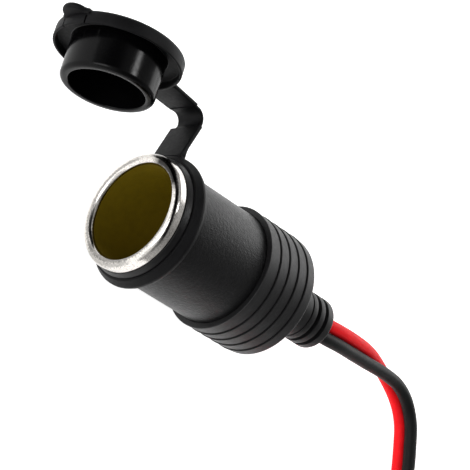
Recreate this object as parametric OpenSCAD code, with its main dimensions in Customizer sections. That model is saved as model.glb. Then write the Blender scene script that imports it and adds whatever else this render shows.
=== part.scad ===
// In-line twelve volt socket for a car: a rolled metal tube in a moulded barrel, a ribbed rear boot,
// a tethered cap and a bonded pair of leads. Millimetres. The bore lies along Y with its mouth
// towards -Y, the cap stands open on the -X side and the leads run off towards +Y.
// The origin is on the bore axis where the straight wall of the bore begins.
// Round pieces are nested from the bore outwards, each from its own wall and one named clearance.

/* [Metal tube] */
// Inner diameter of the tube
bore_d = 21.5; // [21:0.1:22]
// Depth from the lip to the insulating disc
bore_depth = 29; // [26:0.5:31]
// Thickness of the tube's sheet metal
shell_t = 0.5; // [0.4:0.1:0.7]
// How far the rolled lip stands out from the bore
lip_w = 2.35; // [2.2:0.05:2.5]
// How far the lip's outer edge turns back
lip_tail = 1.5; // [1:0.1:2]
// How far the tube steps inwards at its bottom to seat the insulating disc
shell_step = 0.3; // [0.2:0.05:0.4]

/* [Barrel] */
// Thickness of the moulded barrel's wall
barrel_wall = 1.65; // [1.5:0.05:2]
// Room for the leads' bend between the contact stud and the barrel's rear edge
rear_room = 4.55; // [4:0.05:6]
// How far the rim in front of the tether collar stands out from the barrel
rim_step = 0.6; // [0.5:0.05:0.8]
// Height of that rim along the bore
rim_len = 1.6; // [1.2:0.1:2]
// Depth of the neck that holds the tether collar
neck_depth = 0.4; // [0.3:0.05:0.6]

/* [Tether] */
// Width of the tether collar's rubber, from the barrel's neck outwards
collar_w = 2.3; // [2.1:0.05:2.6]
// Thickness of the tether collar along the bore
collar_t = 2.9; // [2.6:0.05:3.2]
// Width of the strap
strap_w = 8.6; // [7:0.2:10]
// Thickness of the strap's lower run
strap_t = 1.05; // [0.8:0.05:1.4]
// Thickness of the strap's upper run
strap_up_t = 0.95; // [0.8:0.05:1.2]
// Thickness of the living hinge
web_t = 0.8; // [0.6:0.05:1]
// Width of the living hinge
web_w = 7; // [6:0.2:8]
// Outer radius of the living hinge's bend
web_r = 2.75; // [2.4:0.05:3.2]

/* [Cap] */
// Thickness of the disc
disc_t = 1.4; // [1:0.1:2]
// Depth of the skirt below the disc
skirt_depth = 1.8; // [1.5:0.1:2.2]
// Thickness of the skirt
skirt_t = 0.55; // [0.5:0.05:1]
// Gap between the skirt and the lip that it closes over
skirt_gap = 0.2; // [0.15:0.05:0.4]
// Gap between the plug and the bore
plug_gap = 0.6; // [0.4:0.05:0.8]
// Thickness of the hollow plug's wall
plug_wall = 1.9; // [1.2:0.1:3]
// How far the plug reaches past the skirt's edge
plug_len = 7.6; // [6:0.2:9]
// Width of the pull tab
tab_w = 6.2; // [5:0.2:8]
// How far the pull tab stands out from the disc
tab_len = 2.7; // [2:0.1:4]
// Thickness of the pull tab
tab_t = 1.3; // [1:0.1:1.8]
// Angle the cap has swung open from facing the bore
open_angle = 92.3; // [85:0.1:100]

/* [Rear boot] */
// Thickness of the boot's side wall at its grip rings
boot_side_t = 1.2; // [1.1:0.05:1.8]
// Thickness of the boot's end wall
boot_wall = 1.6; // [1.2:0.1:2]
// Number of grip rings
grip_rings = 5; // [3:1:6]
// Distance from one grip ring to the next
grip_pitch = 3.05; // [2.6:0.05:3.2]
// Width of the groove between two grip rings
grip_groove = 0.4; // [0.3:0.05:0.6]
// Depth of the groove between two grip rings
grip_depth = 0.5; // [0.3:0.05:0.6]

/* [Strain relief] */
// Thickness of the rubber round the leads at the wide grooves
relief_core_wall = 1.35; // [1.1:0.05:1.6]
// How far the strain relief's rings stand out from that core
relief_rib = 1.45; // [1.3:0.05:1.8]
// Length of the strain relief behind the boot
relief_len = 17.7; // [17:0.1:19]
// Width of its wide grooves
relief_groove = 1.1; // [0.8:0.1:1.3]
// Width of its full rings
relief_ring = 1.5; // [1.2:0.1:1.6]

/* [Contacts] */
// Thickness of the insulating disc in the tube
disc_insulator_t = 1.5; // [1.2:0.1:2]
// Diameter of the centre contact's head
contact_head_d = 9; // [7:0.5:10]
// Height of the centre contact's head
contact_head_h = 2.2; // [1.6:0.1:3]
// Diameter of the centre contact's shank
stud_d = 4; // [3.5:0.1:4.4]
// Thickness of the insulating washer behind the tube
washer_insulator_t = 1.15; // [0.9:0.05:1.4]
// Thickness of the ring terminals
terminal_t = 0.6; // [0.5:0.1:0.8]
// Outer diameter of the terminals' crimped barrels
crimp_d = 2.9; // [2.6:0.1:3.2]
// Width across the flats of the nut
nut_flats = 7; // [6.5:0.1:7.4]
// Height of the nut
nut_h = 2.5; // [2:0.1:2.8]
// Thickness of the spring washer
spring_washer_t = 0.7; // [0.5:0.1:0.8]
// Diameter of the rivet that holds the earth terminal
rivet_d = 2; // [1.6:0.1:2.4]

/* [Leads] */
// Outer diameter of each lead
lead_d = 3.1; // [2.9:0.05:3.2]
// Diameter of the bared and tinned lead tips
tip_d = 1.6; // [1.2:0.1:2]
// Length of the bared lead tips
tip_len = 8; // [5:0.5:10]
// Thickness of the tie round the coil
tie_t = 0.8; // [0.6:0.1:0.8]
// Width of the tie along the leads
tie_w = 3; // [2:0.5:4]

/* [Fits] */
// Clearance between pieces that slide into each other
fit = 0.1; // [0.05:0.01:0.15]

/* [Hidden] */
$fn = 96;
small_fn = 40;
cut = 1;
full_turn = 360;

// The tube: the step that seats the disc lies a little in front of the contact's head
bore_r = bore_d / 2;
lip_r = bore_r + lip_w;
curl_r = lip_w / 2;
shell_r = bore_r + shell_t;
seat_room = 0.5;
step_y = bore_depth - contact_head_h - seat_room;
seat_r = bore_r - shell_step;
floor_y = bore_depth + disc_insulator_t;
shell_back = floor_y + shell_t;
stud_r = stud_d / 2;
floor_hole_gap = 1.6;
floor_hole_r = stud_r + floor_hole_gap;

// The contact stack behind the tube's floor, each piece against the one before it
seam = fit / 2;
washer_insulator_back = shell_back + seam + washer_insulator_t;
terminal_front = washer_insulator_back + seam;
terminal_back = terminal_front + terminal_t;
spring_front = terminal_back + seam;
spring_back = spring_front + spring_washer_t;
nut_front = spring_back + seam;
nut_back = nut_front + nut_h;
stud_end = 1.2;
stud_back = nut_back + stud_end;
eye_w = 2.2;
eye_lap = 1;
spring_w = 1.7;

// The earth terminal's rivet stands near the tube's wall
earth_front = shell_back + seam;
rivet_lap = 0.8;
rivet_head_r = rivet_d / 2 + rivet_lap;
rivet_head_t = 0.7;
rivet_inset = 0.3;
rivet_angle = 46;
rivet_place_r = seat_r - rivet_head_r - rivet_inset;
rivet_x = rivet_place_r * cos(rivet_angle);
rivet_z = -rivet_place_r * sin(rivet_angle);
pad_w = 1.3;
pad_r = rivet_d / 2 + pad_w;
insulator_gap = 0.85;
washer_insulator_r = rivet_place_r - pad_r - insulator_gap;
crimp_len = 4;
crimp_joint = 2.8;
crimp_inset = 3.45;
crimp_x = seat_r - crimp_inset;
tag_w = 2.6;

barrel_bore_r = shell_r + fit;
barrel_r = barrel_bore_r + barrel_wall;
rim_r = barrel_r + rim_step;
rim_edge = 0.3;
rim_front = lip_tail + fit;
rim_back = rim_front + rim_len;
collar_front = rim_back + fit;
collar_back = collar_front + collar_t;
neck_r = barrel_r - neck_depth;
shoulder_y = collar_back + fit;
shoulder_edge = 0.2;
barrel_back = stud_back + rear_room;

// The collar widens from its front edge to its crown, and its root at the back carries the strap
collar_inner_r = neck_r + fit;
collar_r = collar_inner_r + collar_w;
collar_edge = 0.2;
collar_cone = 0.8;
crown_y = 1.4;
crown_len = 0.5;
collar_back_edge = 0.4;
root_t = 1.6;
root_reach = 0.3;
root_sink = 0.9;
strap_root = collar_r + root_reach;

// The strap's side outline, measured from its foot on the collar's root
strap_foot = [-strap_root, collar_back - root_t];
strap_rise = 19.7;
strap_run = 7.8;
strap_bend = 1.7;
strap_end_cut = 0.35;
web_offset = [-9.2, 1.75];
web_centre = strap_foot + web_offset;
web_step = 15;
web_start = 75;
web_lap = 0.5;
strap_out_x = web_centre[0] - web_r;
strap_top_y = -1.7;
upper_start_y = 5.6;
upper_lean = 0.6;
upper_out = 0.25;
upper_taper = 0.4;

// The cap's own frame has its skirt edge at y 0 and its plug towards +Y
skirt_inner_r = lip_r + skirt_gap;
cap_r = skirt_inner_r + skirt_t;
cap_round = 1;
cap_shift = -0.15;
cap_reach = 0.35;
cap_place = [strap_out_x + cap_shift, strap_top_y - cap_r - cap_reach, 0];
cap_inner_y = -skirt_depth;
cap_top_y = cap_inner_y - disc_t;
plug_r = bore_r - plug_gap;
plug_edge = 0.9;
hollow_r = plug_r - plug_wall;
hollow_floor = -0.6;
hollow_edge = 0.3;
cap_root_front = -0.3;
cap_root_t = 1.05;
cap_root_reach = strap_top_y - cap_place[1] - seam;
tab_root = 0.6;
tab_lift = 6;
tab_flare = 0.6;
skirt_slit = 0.4;
skirt_slit_angles = [-142, -13, 13, 142];

// The leads: half the distance between their middles, side by side
lead_r = lead_d / 2;
lead_gap = 0.1;
pair_half = lead_r + lead_gap / 2;

boot_bore_r = barrel_r + fit;
boot_r = boot_bore_r + boot_side_t;
boot_back_inner = barrel_back + fit;
boot_back = boot_back_inner + boot_wall;
grip_tail = 0.2;
grip_front = boot_back + grip_tail - grip_rings * grip_pitch;
grip_slope = 0.2;
grip_rise = 0.15;
boot_land = 0.55;
boot_front = grip_front - boot_land;
boot_front_edge = 0.25;
boot_edge = 0.7;
boot_edge_step = 30;

// The strain relief, measured back from its end
relief_core_r = pair_half + lead_r + relief_core_wall;
relief_r = relief_core_r + relief_rib;
relief_back = boot_back + relief_len;
relief_end_len = 2.2;
relief_end_edge = 0.9;
relief_end_taper = 0.5;
relief_last = relief_back - relief_end_len;
relief_first = relief_last - 2 * (relief_groove + relief_ring);
relief_fillet = 0.8;
relief_sink = 0.6;
relief_x = -0.6;
slit_w = 0.4;
slit_depth = 0.6;
funnel_mid = 1;
funnel_len = 6.6;
funnel_wall = 1.05;
funnel_lip = 0.25;
funnel_end_r = 2 * pair_half + 0.15;
funnel_end_y = boot_back + funnel_len;

// Height of the surface that the socket lies on
ground = -collar_r;
pair_floor_z = ground + tie_t + lead_d;
coil_low_z = ground + tie_t + lead_r;
coil_high_z = coil_low_z + lead_d;
tail_half = 2.6;

// The pair is wound flat in one turn and part of a second that lies on the first
coil_r = 18.5;
coil_x = 46;
coil_line_y = relief_back + 56.8;
coil_y = coil_line_y - coil_r;
low_turn = 300;
quarter_turn = 90;
high_turn_start = 165;
high_turn_end = -61.2;

// The pair's route, each point as x, y, z, twist in degrees and half the distance between the leads.
// At twist 0 the red lead is on the left of the pair, at 90 it is below the black one.
lead_start_y = stud_back - 0.2;
route_inside = [
    [0, lead_start_y, 0, 0, crimp_x - 1.1],
    [0, lead_start_y + 3.4, 0, 0, crimp_x - 2.4],
    [relief_x / 2, boot_back + 1, 0, 0, 2.8],
    [relief_x, boot_back + 4.6, 0, 0, 1.8],
    [relief_x, boot_back + 8.4, 0, 0, pair_half],
    [relief_x, relief_back, 0, 0, pair_half]
];
route_free = [
    [relief_x - 0.1, relief_back + 4.7, 0, 0, pair_half],
    [-1.3, relief_back + 10.7, 0.06 * pair_floor_z, 0, pair_half],
    [-2.15, relief_back + 17.7, 0.21 * pair_floor_z, 0, pair_half],
    [-3, relief_back + 24.7, 0.39 * pair_floor_z, 10, pair_half],
    [-3.6, relief_back + 30.7, 0.56 * pair_floor_z, 30, pair_half],
    [-3.7, relief_back + 36.7, 0.72 * pair_floor_z, 55, pair_half],
    [-3.1, relief_back + 42.7, 0.86 * pair_floor_z, 80, pair_half],
    [-1.4, relief_back + 47.7, 0.95 * pair_floor_z, 90, pair_half],
    [0.8, relief_back + 50.9, pair_floor_z, 90, pair_half],
    [4, relief_back + 52.9, pair_floor_z, 90, pair_half],
    [8.5, relief_back + 54.3, pair_floor_z, 90, pair_half],
    [14, relief_back + 55.6, pair_floor_z, 90, pair_half],
    [20, relief_back + 56.5, coil_low_z + 1.45, 75, pair_half],
    [26, coil_line_y, coil_low_z + 0.55, 40, pair_half],
    [32, coil_line_y, coil_low_z - 0.35, 12, pair_half],
    [38, coil_line_y, coil_low_z - 0.1, 0, pair_half],
    [coil_x - 3, coil_line_y, coil_low_z, 0, pair_half],
    [coil_x, coil_line_y, coil_low_z, 0, pair_half]
];
route = concat(route_inside, route_free);
// Place on the coil's end that lies d further on in the direction of the turn
function past_coil(d) = [
    coil_x + coil_r * cos(high_turn_end) + d * sin(high_turn_end),
    coil_y + coil_r * sin(high_turn_end) - d * cos(high_turn_end),
    coil_high_z, 0, pair_half
];
route_tail = [
    past_coil(seam),
    past_coil(1.2),
    [coil_x + 5, coil_y - 19.1, coil_high_z + 0.05, 0, pair_half],
    [coil_x + 2, coil_y - 22, coil_high_z + 0.05, 0, pair_half],
    [coil_x + 0.5, coil_y - 25.9, coil_high_z - 0.05, 0, pair_half],
    [coil_x, coil_y - 30.6, coil_high_z - 1.45, 0, pair_half + 0.4],
    [coil_x, coil_y - 35.6, coil_low_z, 0, tail_half],
    [coil_x, coil_y - 40.6, coil_low_z, 0, tail_half]
];
tube_sides = 8;

// Turns an upright form so that its axis lies along the bore
module along_bore(y = 0) {
    translate([0, y, 0]) rotate([-90, 0, 0]) children();
}

// A plain ring along the bore, from y0 to y1
module ring(outer, inner, y0, y1) {
    along_bore(y0) difference() {
        cylinder(r = outer, h = y1 - y0);
        translate([0, 0, -cut]) cylinder(r = inner, h = y1 - y0 + 2 * cut);
    }
}

// Half round section of the rolled lip, centred on the curl
module curl_section() {
    intersection() {
        difference() {
            circle(r = curl_r);
            circle(r = curl_r - shell_t);
        }
        translate([-curl_r, -curl_r]) square([2 * curl_r, curl_r]);
    }
}

// Drawn tube with a floor and a lip rolled outwards
module socket_shell() {
    color([0.78, 0.76, 0.7]) difference() {
        along_bore() rotate_extrude() {
            translate([bore_r + curl_r, 0]) curl_section();
            translate([lip_r - shell_t, 0]) square([shell_t, lip_tail]);
            translate([bore_r, 0]) square([shell_t, step_y + shell_t]);
            translate([seat_r, step_y]) square([shell_t, shell_back - step_y]);
            translate([floor_hole_r, floor_y]) square([seat_r + shell_t - floor_hole_r, shell_t]);
        }
        translate([rivet_x, 0, rivet_z]) along_bore(floor_y - cut)
            cylinder(r = rivet_d / 2 + seam, h = shell_t + 2 * cut, $fn = small_fn);
    }
}

// Moulded barrel with a rim and a neck for the tether collar
module housing() {
    color([0.09, 0.09, 0.1]) along_bore() rotate_extrude() polygon([
        [barrel_bore_r, rim_front],
        [lip_r + fit, rim_front],
        [rim_r, rim_back - rim_edge],
        [rim_r, rim_back],
        [neck_r, rim_back],
        [neck_r, shoulder_y],
        [barrel_r - shoulder_edge, shoulder_y],
        [barrel_r, shoulder_y + shoulder_edge],
        [barrel_r, barrel_back],
        [barrel_bore_r, barrel_back]
    ]);
}

// One grip ring: highest at its front edge, falling to the groove behind it
function grip_ring(i) = let (y = grip_front + i * grip_pitch) [
    [boot_r - grip_depth, y - grip_groove],
    [boot_r - grip_depth, y],
    [boot_r, y + grip_rise],
    [boot_r - grip_slope, y + grip_pitch - grip_groove]
];

// Outer edge of the boot from its first groove to its rounded rear
function boot_side() = [
    for (i = [1 : grip_rings - 1])
        for (p = grip_ring(i)) if (p[1] < boot_back - boot_edge) p
];

// Rings and grooves of the strain relief, from the boot to its end
function relief_side() = [
    [relief_r, relief_first - slit_w],
    [relief_r - slit_depth, relief_first - slit_w],
    [relief_r - slit_depth, relief_first],
    [relief_r, relief_first],
    for (i = [0 : 1]) let (y = relief_first + relief_ring + i * (relief_ring + relief_groove))
        each [
            [relief_r, y],
            [relief_core_r, y],
            [relief_core_r, y + relief_groove],
            [relief_r, y + relief_groove]
        ],
    [relief_r, relief_back - relief_end_edge],
    [relief_r - relief_end_taper, relief_back]
];

// Outer form of the strain relief, which stands a little to one side of the bore's axis
module relief_form() {
    along_bore() rotate_extrude() polygon(concat(
        [[0, boot_back - relief_sink], [relief_r + relief_fillet, boot_back - relief_sink]],
        [[relief_r + relief_fillet, boot_back], [relief_r, boot_back + relief_fillet]],
        relief_side(),
        [[0, relief_back]]
    ));
}

// Way that the leads take through the strain relief: a funnel and a close bore behind it
module relief_way() {
    along_bore() rotate_extrude() polygon([
        [0, funnel_end_y],
        [funnel_end_r, funnel_end_y],
        [relief_r - funnel_wall, boot_back + funnel_mid],
        [relief_r + funnel_lip, boot_back_inner],
        [relief_r + funnel_lip, boot_back_inner - cut],
        [0, boot_back_inner - cut]
    ]);
    along_bore(funnel_end_y - cut) {
        for (side = [-1, 1])
            translate([side * pair_half, 0, 0])
                cylinder(r = lead_r + fit, h = relief_back, $fn = small_fn);
        translate([-pair_half, -lead_r - fit, 0])
            cube([2 * pair_half, lead_d + 2 * fit, relief_back]);
    }
}

// Soft boot slipped over the barrel, one moulding with the strain relief
module rear_boot() {
    color([0.12, 0.12, 0.13]) difference() {
        union() {
            along_bore() rotate_extrude() polygon(concat(
                [[boot_bore_r, boot_front], [boot_r - boot_front_edge, boot_front]],
                [[boot_r, boot_front + boot_front_edge]],
                [[boot_r - grip_slope, grip_front + grip_pitch - grip_groove]],
                boot_side(),
                [for (a = [0 : boot_edge_step : quarter_turn]) [
                    boot_r - grip_slope - boot_edge * (1 - cos(a)),
                    boot_back - boot_edge * (1 - sin(a))
                ]],
                [[0, boot_back], [0, boot_back_inner], [boot_bore_r, boot_back_inner]]
            ));
            translate([relief_x, 0, 0]) relief_form();
        }
        translate([relief_x, 0, 0]) relief_way();
    }
}

// Insulating disc at the bottom of the bore, with a pocket for the rivet head
module front_insulator() {
    color([0.5, 0.34, 0.2]) difference() {
        ring(seat_r - fit, stud_r + fit, bore_depth, floor_y);
        translate([rivet_x, 0, rivet_z]) along_bore(floor_y - rivet_head_t - fit)
            cylinder(r = rivet_head_r + fit, h = rivet_head_t + fit + cut, $fn = small_fn);
    }
}

// Centre contact: a domed head in the bore and a shank through the floor
module contact_stud() {
    head_r = contact_head_d / 2;
    color([0.8, 0.72, 0.45]) along_bore() rotate_extrude() polygon([
        [0, bore_depth - contact_head_h],
        [head_r * 0.45, bore_depth - contact_head_h],
        [head_r * 0.8, bore_depth - contact_head_h * 0.8],
        [head_r, bore_depth - contact_head_h * 0.4],
        [head_r, bore_depth],
        [stud_r, bore_depth],
        [stud_r, stud_back],
        [0, stud_back]
    ]);
}

// Shouldered washer that keeps the stud clear of the tube's floor
module rear_insulator() {
    color([0.85, 0.83, 0.76]) union() {
        ring(floor_hole_r - fit, stud_r + fit, floor_y, shell_back + fit);
        ring(washer_insulator_r, stud_r + fit, shell_back + seam, washer_insulator_back);
    }
}

// Crimped barrel of a terminal, in line with the start of its lead; side is -1 or 1
module crimp_barrel(side, foot_y) {
    a = route[0];
    b = route[1];
    lean = atan((a[4] - b[4]) / (b[1] - a[1]));
    translate([side * a[4], a[1], 0]) rotate([-90, 0, side * lean]) translate([0, 0, -crimp_len])
        cylinder(d = crimp_d, h = crimp_len, $fn = small_fn);
    translate([side * crimp_x - tag_w / 2, foot_y, -tag_w / 2])
        cube([tag_w, a[1] - crimp_joint - foot_y, tag_w]);
}

// Ring terminal on the stud, crimped to the red lead
module positive_terminal() {
    color([0.8, 0.8, 0.78]) union() {
        difference() {
            union() {
                along_bore(terminal_front) cylinder(r = stud_r + eye_w, h = terminal_t);
                translate([-crimp_x - tag_w / 2, terminal_front, -tag_w / 2])
                    cube([crimp_x + tag_w / 2 - stud_r - eye_lap, terminal_t, tag_w]);
            }
            along_bore(terminal_front - cut) cylinder(r = stud_r + fit, h = terminal_t + 2 * cut);
        }
        crimp_barrel(-1, terminal_front);
    }
}

// Spring washer under the nut
module lock_washer() {
    color([0.7, 0.7, 0.7]) ring(stud_r + spring_w, stud_r + fit, spring_front, spring_back);
}

// Nut that clamps the contact stack
module hex_nut() {
    color([0.72, 0.72, 0.7]) along_bore(nut_front) difference() {
        rotate(30) cylinder(r = nut_flats / 2 / cos(30), h = nut_h, $fn = 6);
        translate([0, 0, -cut]) cylinder(r = stud_r + seam, h = nut_h + 2 * cut);
    }
}

// Earth terminal riveted to the tube's floor, crimped to the black lead
module negative_terminal() {
    color([0.8, 0.8, 0.78]) union() {
        difference() {
            union() {
                translate([rivet_x, 0, rivet_z]) along_bore(earth_front)
                    cylinder(r = pad_r, h = terminal_t);
                translate([crimp_x - tag_w / 2, earth_front, rivet_z])
                    cube([tag_w, terminal_t, tag_w / 2 - rivet_z]);
            }
            translate([rivet_x, 0, rivet_z]) along_bore(earth_front - cut)
                cylinder(r = rivet_d / 2 + seam, h = terminal_t + 2 * cut, $fn = small_fn);
        }
        crimp_barrel(1, earth_front);
    }
}

// Rivet through the earth terminal and the tube's floor
module negative_rivet() {
    head_back = earth_front + terminal_t + seam;
    color([0.75, 0.7, 0.55]) translate([rivet_x, 0, rivet_z]) union() {
        along_bore(floor_y - rivet_head_t) cylinder(r = rivet_head_r, h = rivet_head_t, $fn = small_fn);
        along_bore(floor_y - rivet_head_t)
            cylinder(d = rivet_d, h = head_back + rivet_head_t - floor_y + rivet_head_t, $fn = small_fn);
        along_bore(head_back) cylinder(r = rivet_head_r, h = rivet_head_t, $fn = small_fn);
    }
}

// Rubber ring on the barrel's neck, with the root that carries the strap
module tether_collar() {
    color([0.06, 0.06, 0.065]) union() {
        along_bore() rotate_extrude() polygon([
            [collar_inner_r, collar_front],
            [collar_r - collar_cone - collar_edge, collar_front],
            [collar_r - collar_cone, collar_front + collar_edge],
            [collar_r, collar_front + crown_y],
            [collar_r, collar_front + crown_y + crown_len],
            [collar_r - collar_back_edge, collar_back],
            [collar_inner_r, collar_back]
        ]);
        translate([-strap_root, collar_back - root_t, -strap_w / 2])
            cube([root_reach + collar_w - root_sink, root_t, strap_w]);
    }
}

// Points on an arc round the living hinge's centre
function web_arc(r, from, to, step) =
    [for (a = [from : step : to]) web_centre + r * [cos(a), sin(a)]];

// Slab in the XY plane of the given outline, centred on the bore's plane
module slab(width, outline) {
    translate([0, 0, -width / 2]) linear_extrude(width) polygon(outline);
}

// Lower run of the strap, from the collar's root to the living hinge
module strap_lower_run() {
    rise = tan(strap_rise);
    back = [0, strap_t / cos(strap_rise)];
    front_end = strap_foot + strap_run * [-1, rise];
    slab(strap_w, [
        strap_foot,
        front_end,
        front_end + [-strap_end_cut, back[1] * 0.8],
        front_end + back,
        strap_foot + strap_bend * [-1, rise] + back,
        strap_foot + [0, root_t]
    ]);
}

// Living hinge, narrower and thinner than the runs that it joins
module strap_web() {
    half_turn = 2 * quarter_turn;
    lap = strap_foot + (strap_run - web_lap) * [-1, tan(strap_rise)];
    slab(web_w, concat(
        [lap + [0, strap_t * 0.3]],
        web_arc(web_r - web_t, web_start, half_turn, web_step),
        [[web_centre[0] - web_r + web_t, upper_start_y - web_lap]],
        [[strap_out_x - upper_out * 0.6, upper_start_y - web_lap]],
        web_arc(web_r, half_turn, web_start, -web_step),
        [lap + [web_lap, strap_t * 0.8]]
    ));
}

// Upper run of the strap, leaning out and widening towards the cap
module strap_upper_run() {
    start_x = strap_out_x - upper_out;
    lean_x = start_x - upper_lean;
    narrow = strap_w / 2 - upper_taper;
    intersection() {
        slab(strap_w, [
            [start_x, upper_start_y],
            [lean_x, strap_top_y],
            [lean_x + strap_up_t, strap_top_y],
            [start_x + strap_up_t, upper_start_y]
        ]);
        translate([lean_x - cut, 0, 0]) rotate([90, 0, 90])
            linear_extrude(strap_up_t + upper_lean + 2 * cut) polygon([
                [strap_top_y, -strap_w / 2],
                [upper_start_y, -narrow],
                [upper_start_y, narrow],
                [strap_top_y, strap_w / 2]
            ]);
    }
}

// Flat strap with a thin bend that works as its living hinge
module tether_strap() {
    color([0.06, 0.06, 0.065]) union() {
        strap_lower_run();
        strap_web();
        strap_upper_run();
    }
}

// Outline of the pull tab, lying along +X from its root, with a round end
module tab_outline() {
    end_r = tab_w / 2;
    end_x = tab_root + tab_len - end_r;
    polygon([
        [-1, -end_r - tab_flare],
        [tab_root, -end_r - tab_flare],
        [max(end_x, tab_root), -end_r],
        [max(end_x, tab_root), end_r],
        [tab_root, end_r + tab_flare],
        [-1, end_r + tab_flare]
    ]);
    translate([end_x, 0]) circle(r = end_r);
}

// Cap in its own frame: disc, skirt, hollow plug, pull tab and the root of the strap
module cap_form() {
    difference() {
        cap_turned();
        for (a = skirt_slit_angles)
            rotate([0, a, 0]) translate([skirt_inner_r - seam, cap_inner_y, -skirt_slit / 2])
                cube([skirt_t + cut, skirt_depth + cut, skirt_slit]);
    }
    translate([cap_r - tab_root, cap_top_y + tab_t / 2, 0]) rotate([0, 0, -tab_lift])
        rotate([90, 0, 0]) translate([0, 0, -tab_t / 2]) linear_extrude(tab_t) tab_outline();
    translate([-cap_root_reach, cap_root_front - cap_root_t, -strap_w / 2])
        cube([cap_root_reach - skirt_inner_r - seam, cap_root_t, strap_w]);
}

// Disc, skirt and hollow plug of the cap, turned about its axis
module cap_turned() {
    along_bore() rotate_extrude() polygon([
        [0, cap_top_y],
        [cap_r - cap_round, cap_top_y],
        [cap_r - cap_round * 0.4, cap_top_y + cap_round * 0.15],
        [cap_r, cap_top_y + cap_round * 0.6],
        [cap_r, 0],
        [skirt_inner_r, 0],
        [skirt_inner_r, cap_inner_y],
        [plug_r, cap_inner_y],
        [plug_r, plug_len - plug_edge],
        [plug_r - plug_edge * 0.3, plug_len - plug_edge * 0.3],
        [plug_r - plug_edge, plug_len],
        [hollow_r + hollow_edge, plug_len],
        [hollow_r, plug_len - hollow_edge],
        [hollow_r, hollow_floor],
        [0, hollow_floor]
    ]);
}

// Cap as the socket lies, swung open beside the mouth
module cap() {
    color([0.05, 0.05, 0.055]) translate(cap_place) rotate([0, 0, -open_angle]) cap_form();
}

function unit(v) = v / norm(v);

// Heading of the pair's route at point i
function heading(p, i) =
    let (n = len(p) - 1, a = p[max(i - 1, 0)], b = p[min(i + 1, n)])
    unit([b[0] - a[0], b[1] - a[1], b[2] - a[2]]);

// Direction from the pair's middle to its red lead at point i
function red_side(p, i) =
    let (h = heading(p, i), left = unit([-h[1], h[0], 0]), up = cross(-left, h))
    left * cos(p[i][3]) - up * sin(p[i][3]);

// Middle line of one lead along the pair's route p; side is 1 for red and -1 for black
function lead_line(p, side) = [
    for (i = [0 : len(p) - 1]) [p[i][0], p[i][1], p[i][2]] + red_side(p, i) * side * p[i][4]
];

// Ring of points round a line's point i, square to the line
function tube_ring(line, i, r) =
    let (h = heading(line, i), left = unit([-h[1], h[0], 0]), up = cross(left, h))
    [for (k = [0 : tube_sides - 1])
        let (a = (k + 0.5) * full_turn / tube_sides) line[i] + r * (left * cos(a) + up * sin(a))];

// Closed tube swept along a line
module tube(line, r) {
    n = len(line);
    s = tube_sides;
    points = [for (i = [0 : n - 1]) each tube_ring(line, i, r)];
    walls = [for (i = [0 : n - 2]) for (k = [0 : s - 1])
        [i * s + k, i * s + (k + 1) % s, (i + 1) * s + (k + 1) % s, (i + 1) * s + k]];
    start_face = [for (k = [s - 1 : -1 : 0]) k];
    end_face = [for (k = [0 : s - 1]) (n - 1) * s + k];
    polyhedron(points, concat(walls, [start_face, end_face]));
}

// Positive lead, from its crimp through the boot to the coil
module red_lead() {
    color([0.75, 0.08, 0.08]) tube(lead_line(route, 1), lead_r);
}

// Earth lead, bonded to the red one
module black_lead() {
    color([0.07, 0.07, 0.07]) tube(lead_line(route, -1), lead_r);
}

// Sector cut out of the coil, from angle a0 to a1 and from height z0 up by h
module turn_cut(r, a0, a1, z0, h) {
    rotate([0, 0, a0]) rotate_extrude(angle = a1 - a0)
        translate([r - lead_d, z0]) square([2 * lead_d, h]);
}

// Outer shape of one lead's turns; side is 1 for the outer red lead and -1 for the black one
module coil_form(side) {
    r = coil_r + side * pair_half;
    translate([coil_x, coil_y, ground + tie_t]) difference() {
        rotate_extrude() translate([r - lead_r, 0]) square([lead_d, 2 * lead_d]);
        turn_cut(r, quarter_turn, quarter_turn + full_turn - low_turn, -cut, lead_d + cut);
        turn_cut(r, high_turn_start, full_turn + high_turn_end, lead_d, lead_d + cut);
    }
}

// Coiled stretch of the red lead
module red_coil() {
    color([0.75, 0.08, 0.08]) coil_form(1);
}

// Coiled stretch of the black lead, inside the red one
module black_coil() {
    color([0.07, 0.07, 0.07]) coil_form(-1);
}

// Red lead from the coil to its bared tip
module red_tail() {
    color([0.75, 0.08, 0.08]) tube(lead_line(route_tail, 1), lead_r);
}

// Black lead from the coil to its bared tip
module black_tail() {
    color([0.07, 0.07, 0.07]) tube(lead_line(route_tail, -1), lead_r);
}

// Bared tip in line with the end of its lead
module tip_form(side) {
    end = route_tail[len(route_tail) - 1];
    translate([end[0] + side * end[4], end[1], end[2]]) rotate([90, 0, 0])
        cylinder(d = tip_d, h = tip_len, $fn = small_fn);
}

// Tinned end of the red lead
module red_tip() {
    color([0.8, 0.8, 0.78]) tip_form(1);
}

// Tinned end of the black lead
module black_tip() {
    color([0.8, 0.8, 0.78]) tip_form(-1);
}

// Tie that holds the coil's turns together
module coil_tie() {
    hole_w = 2 * (pair_half + lead_r + fit) + fit;
    hole_h = 2 * lead_d + fit;
    color([0.85, 0.85, 0.82]) translate([coil_x + coil_r, coil_y, ground]) difference() {
        translate([-hole_w / 2 - tie_t, -tie_w / 2, 0])
            cube([hole_w + 2 * tie_t, tie_w, hole_h + 2 * tie_t]);
        translate([-hole_w / 2, -tie_w / 2 - cut, tie_t])
            cube([hole_w, tie_w + 2 * cut, hole_h]);
    }
}

housing();
rear_boot();
socket_shell();
front_insulator();
contact_stud();
rear_insulator();
positive_terminal();
lock_washer();
hex_nut();
negative_terminal();
negative_rivet();
tether_collar();
tether_strap();
cap();
red_lead();
black_lead();
red_coil();
black_coil();
red_tail();
black_tail();
red_tip();
black_tip();
coil_tie();
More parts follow.
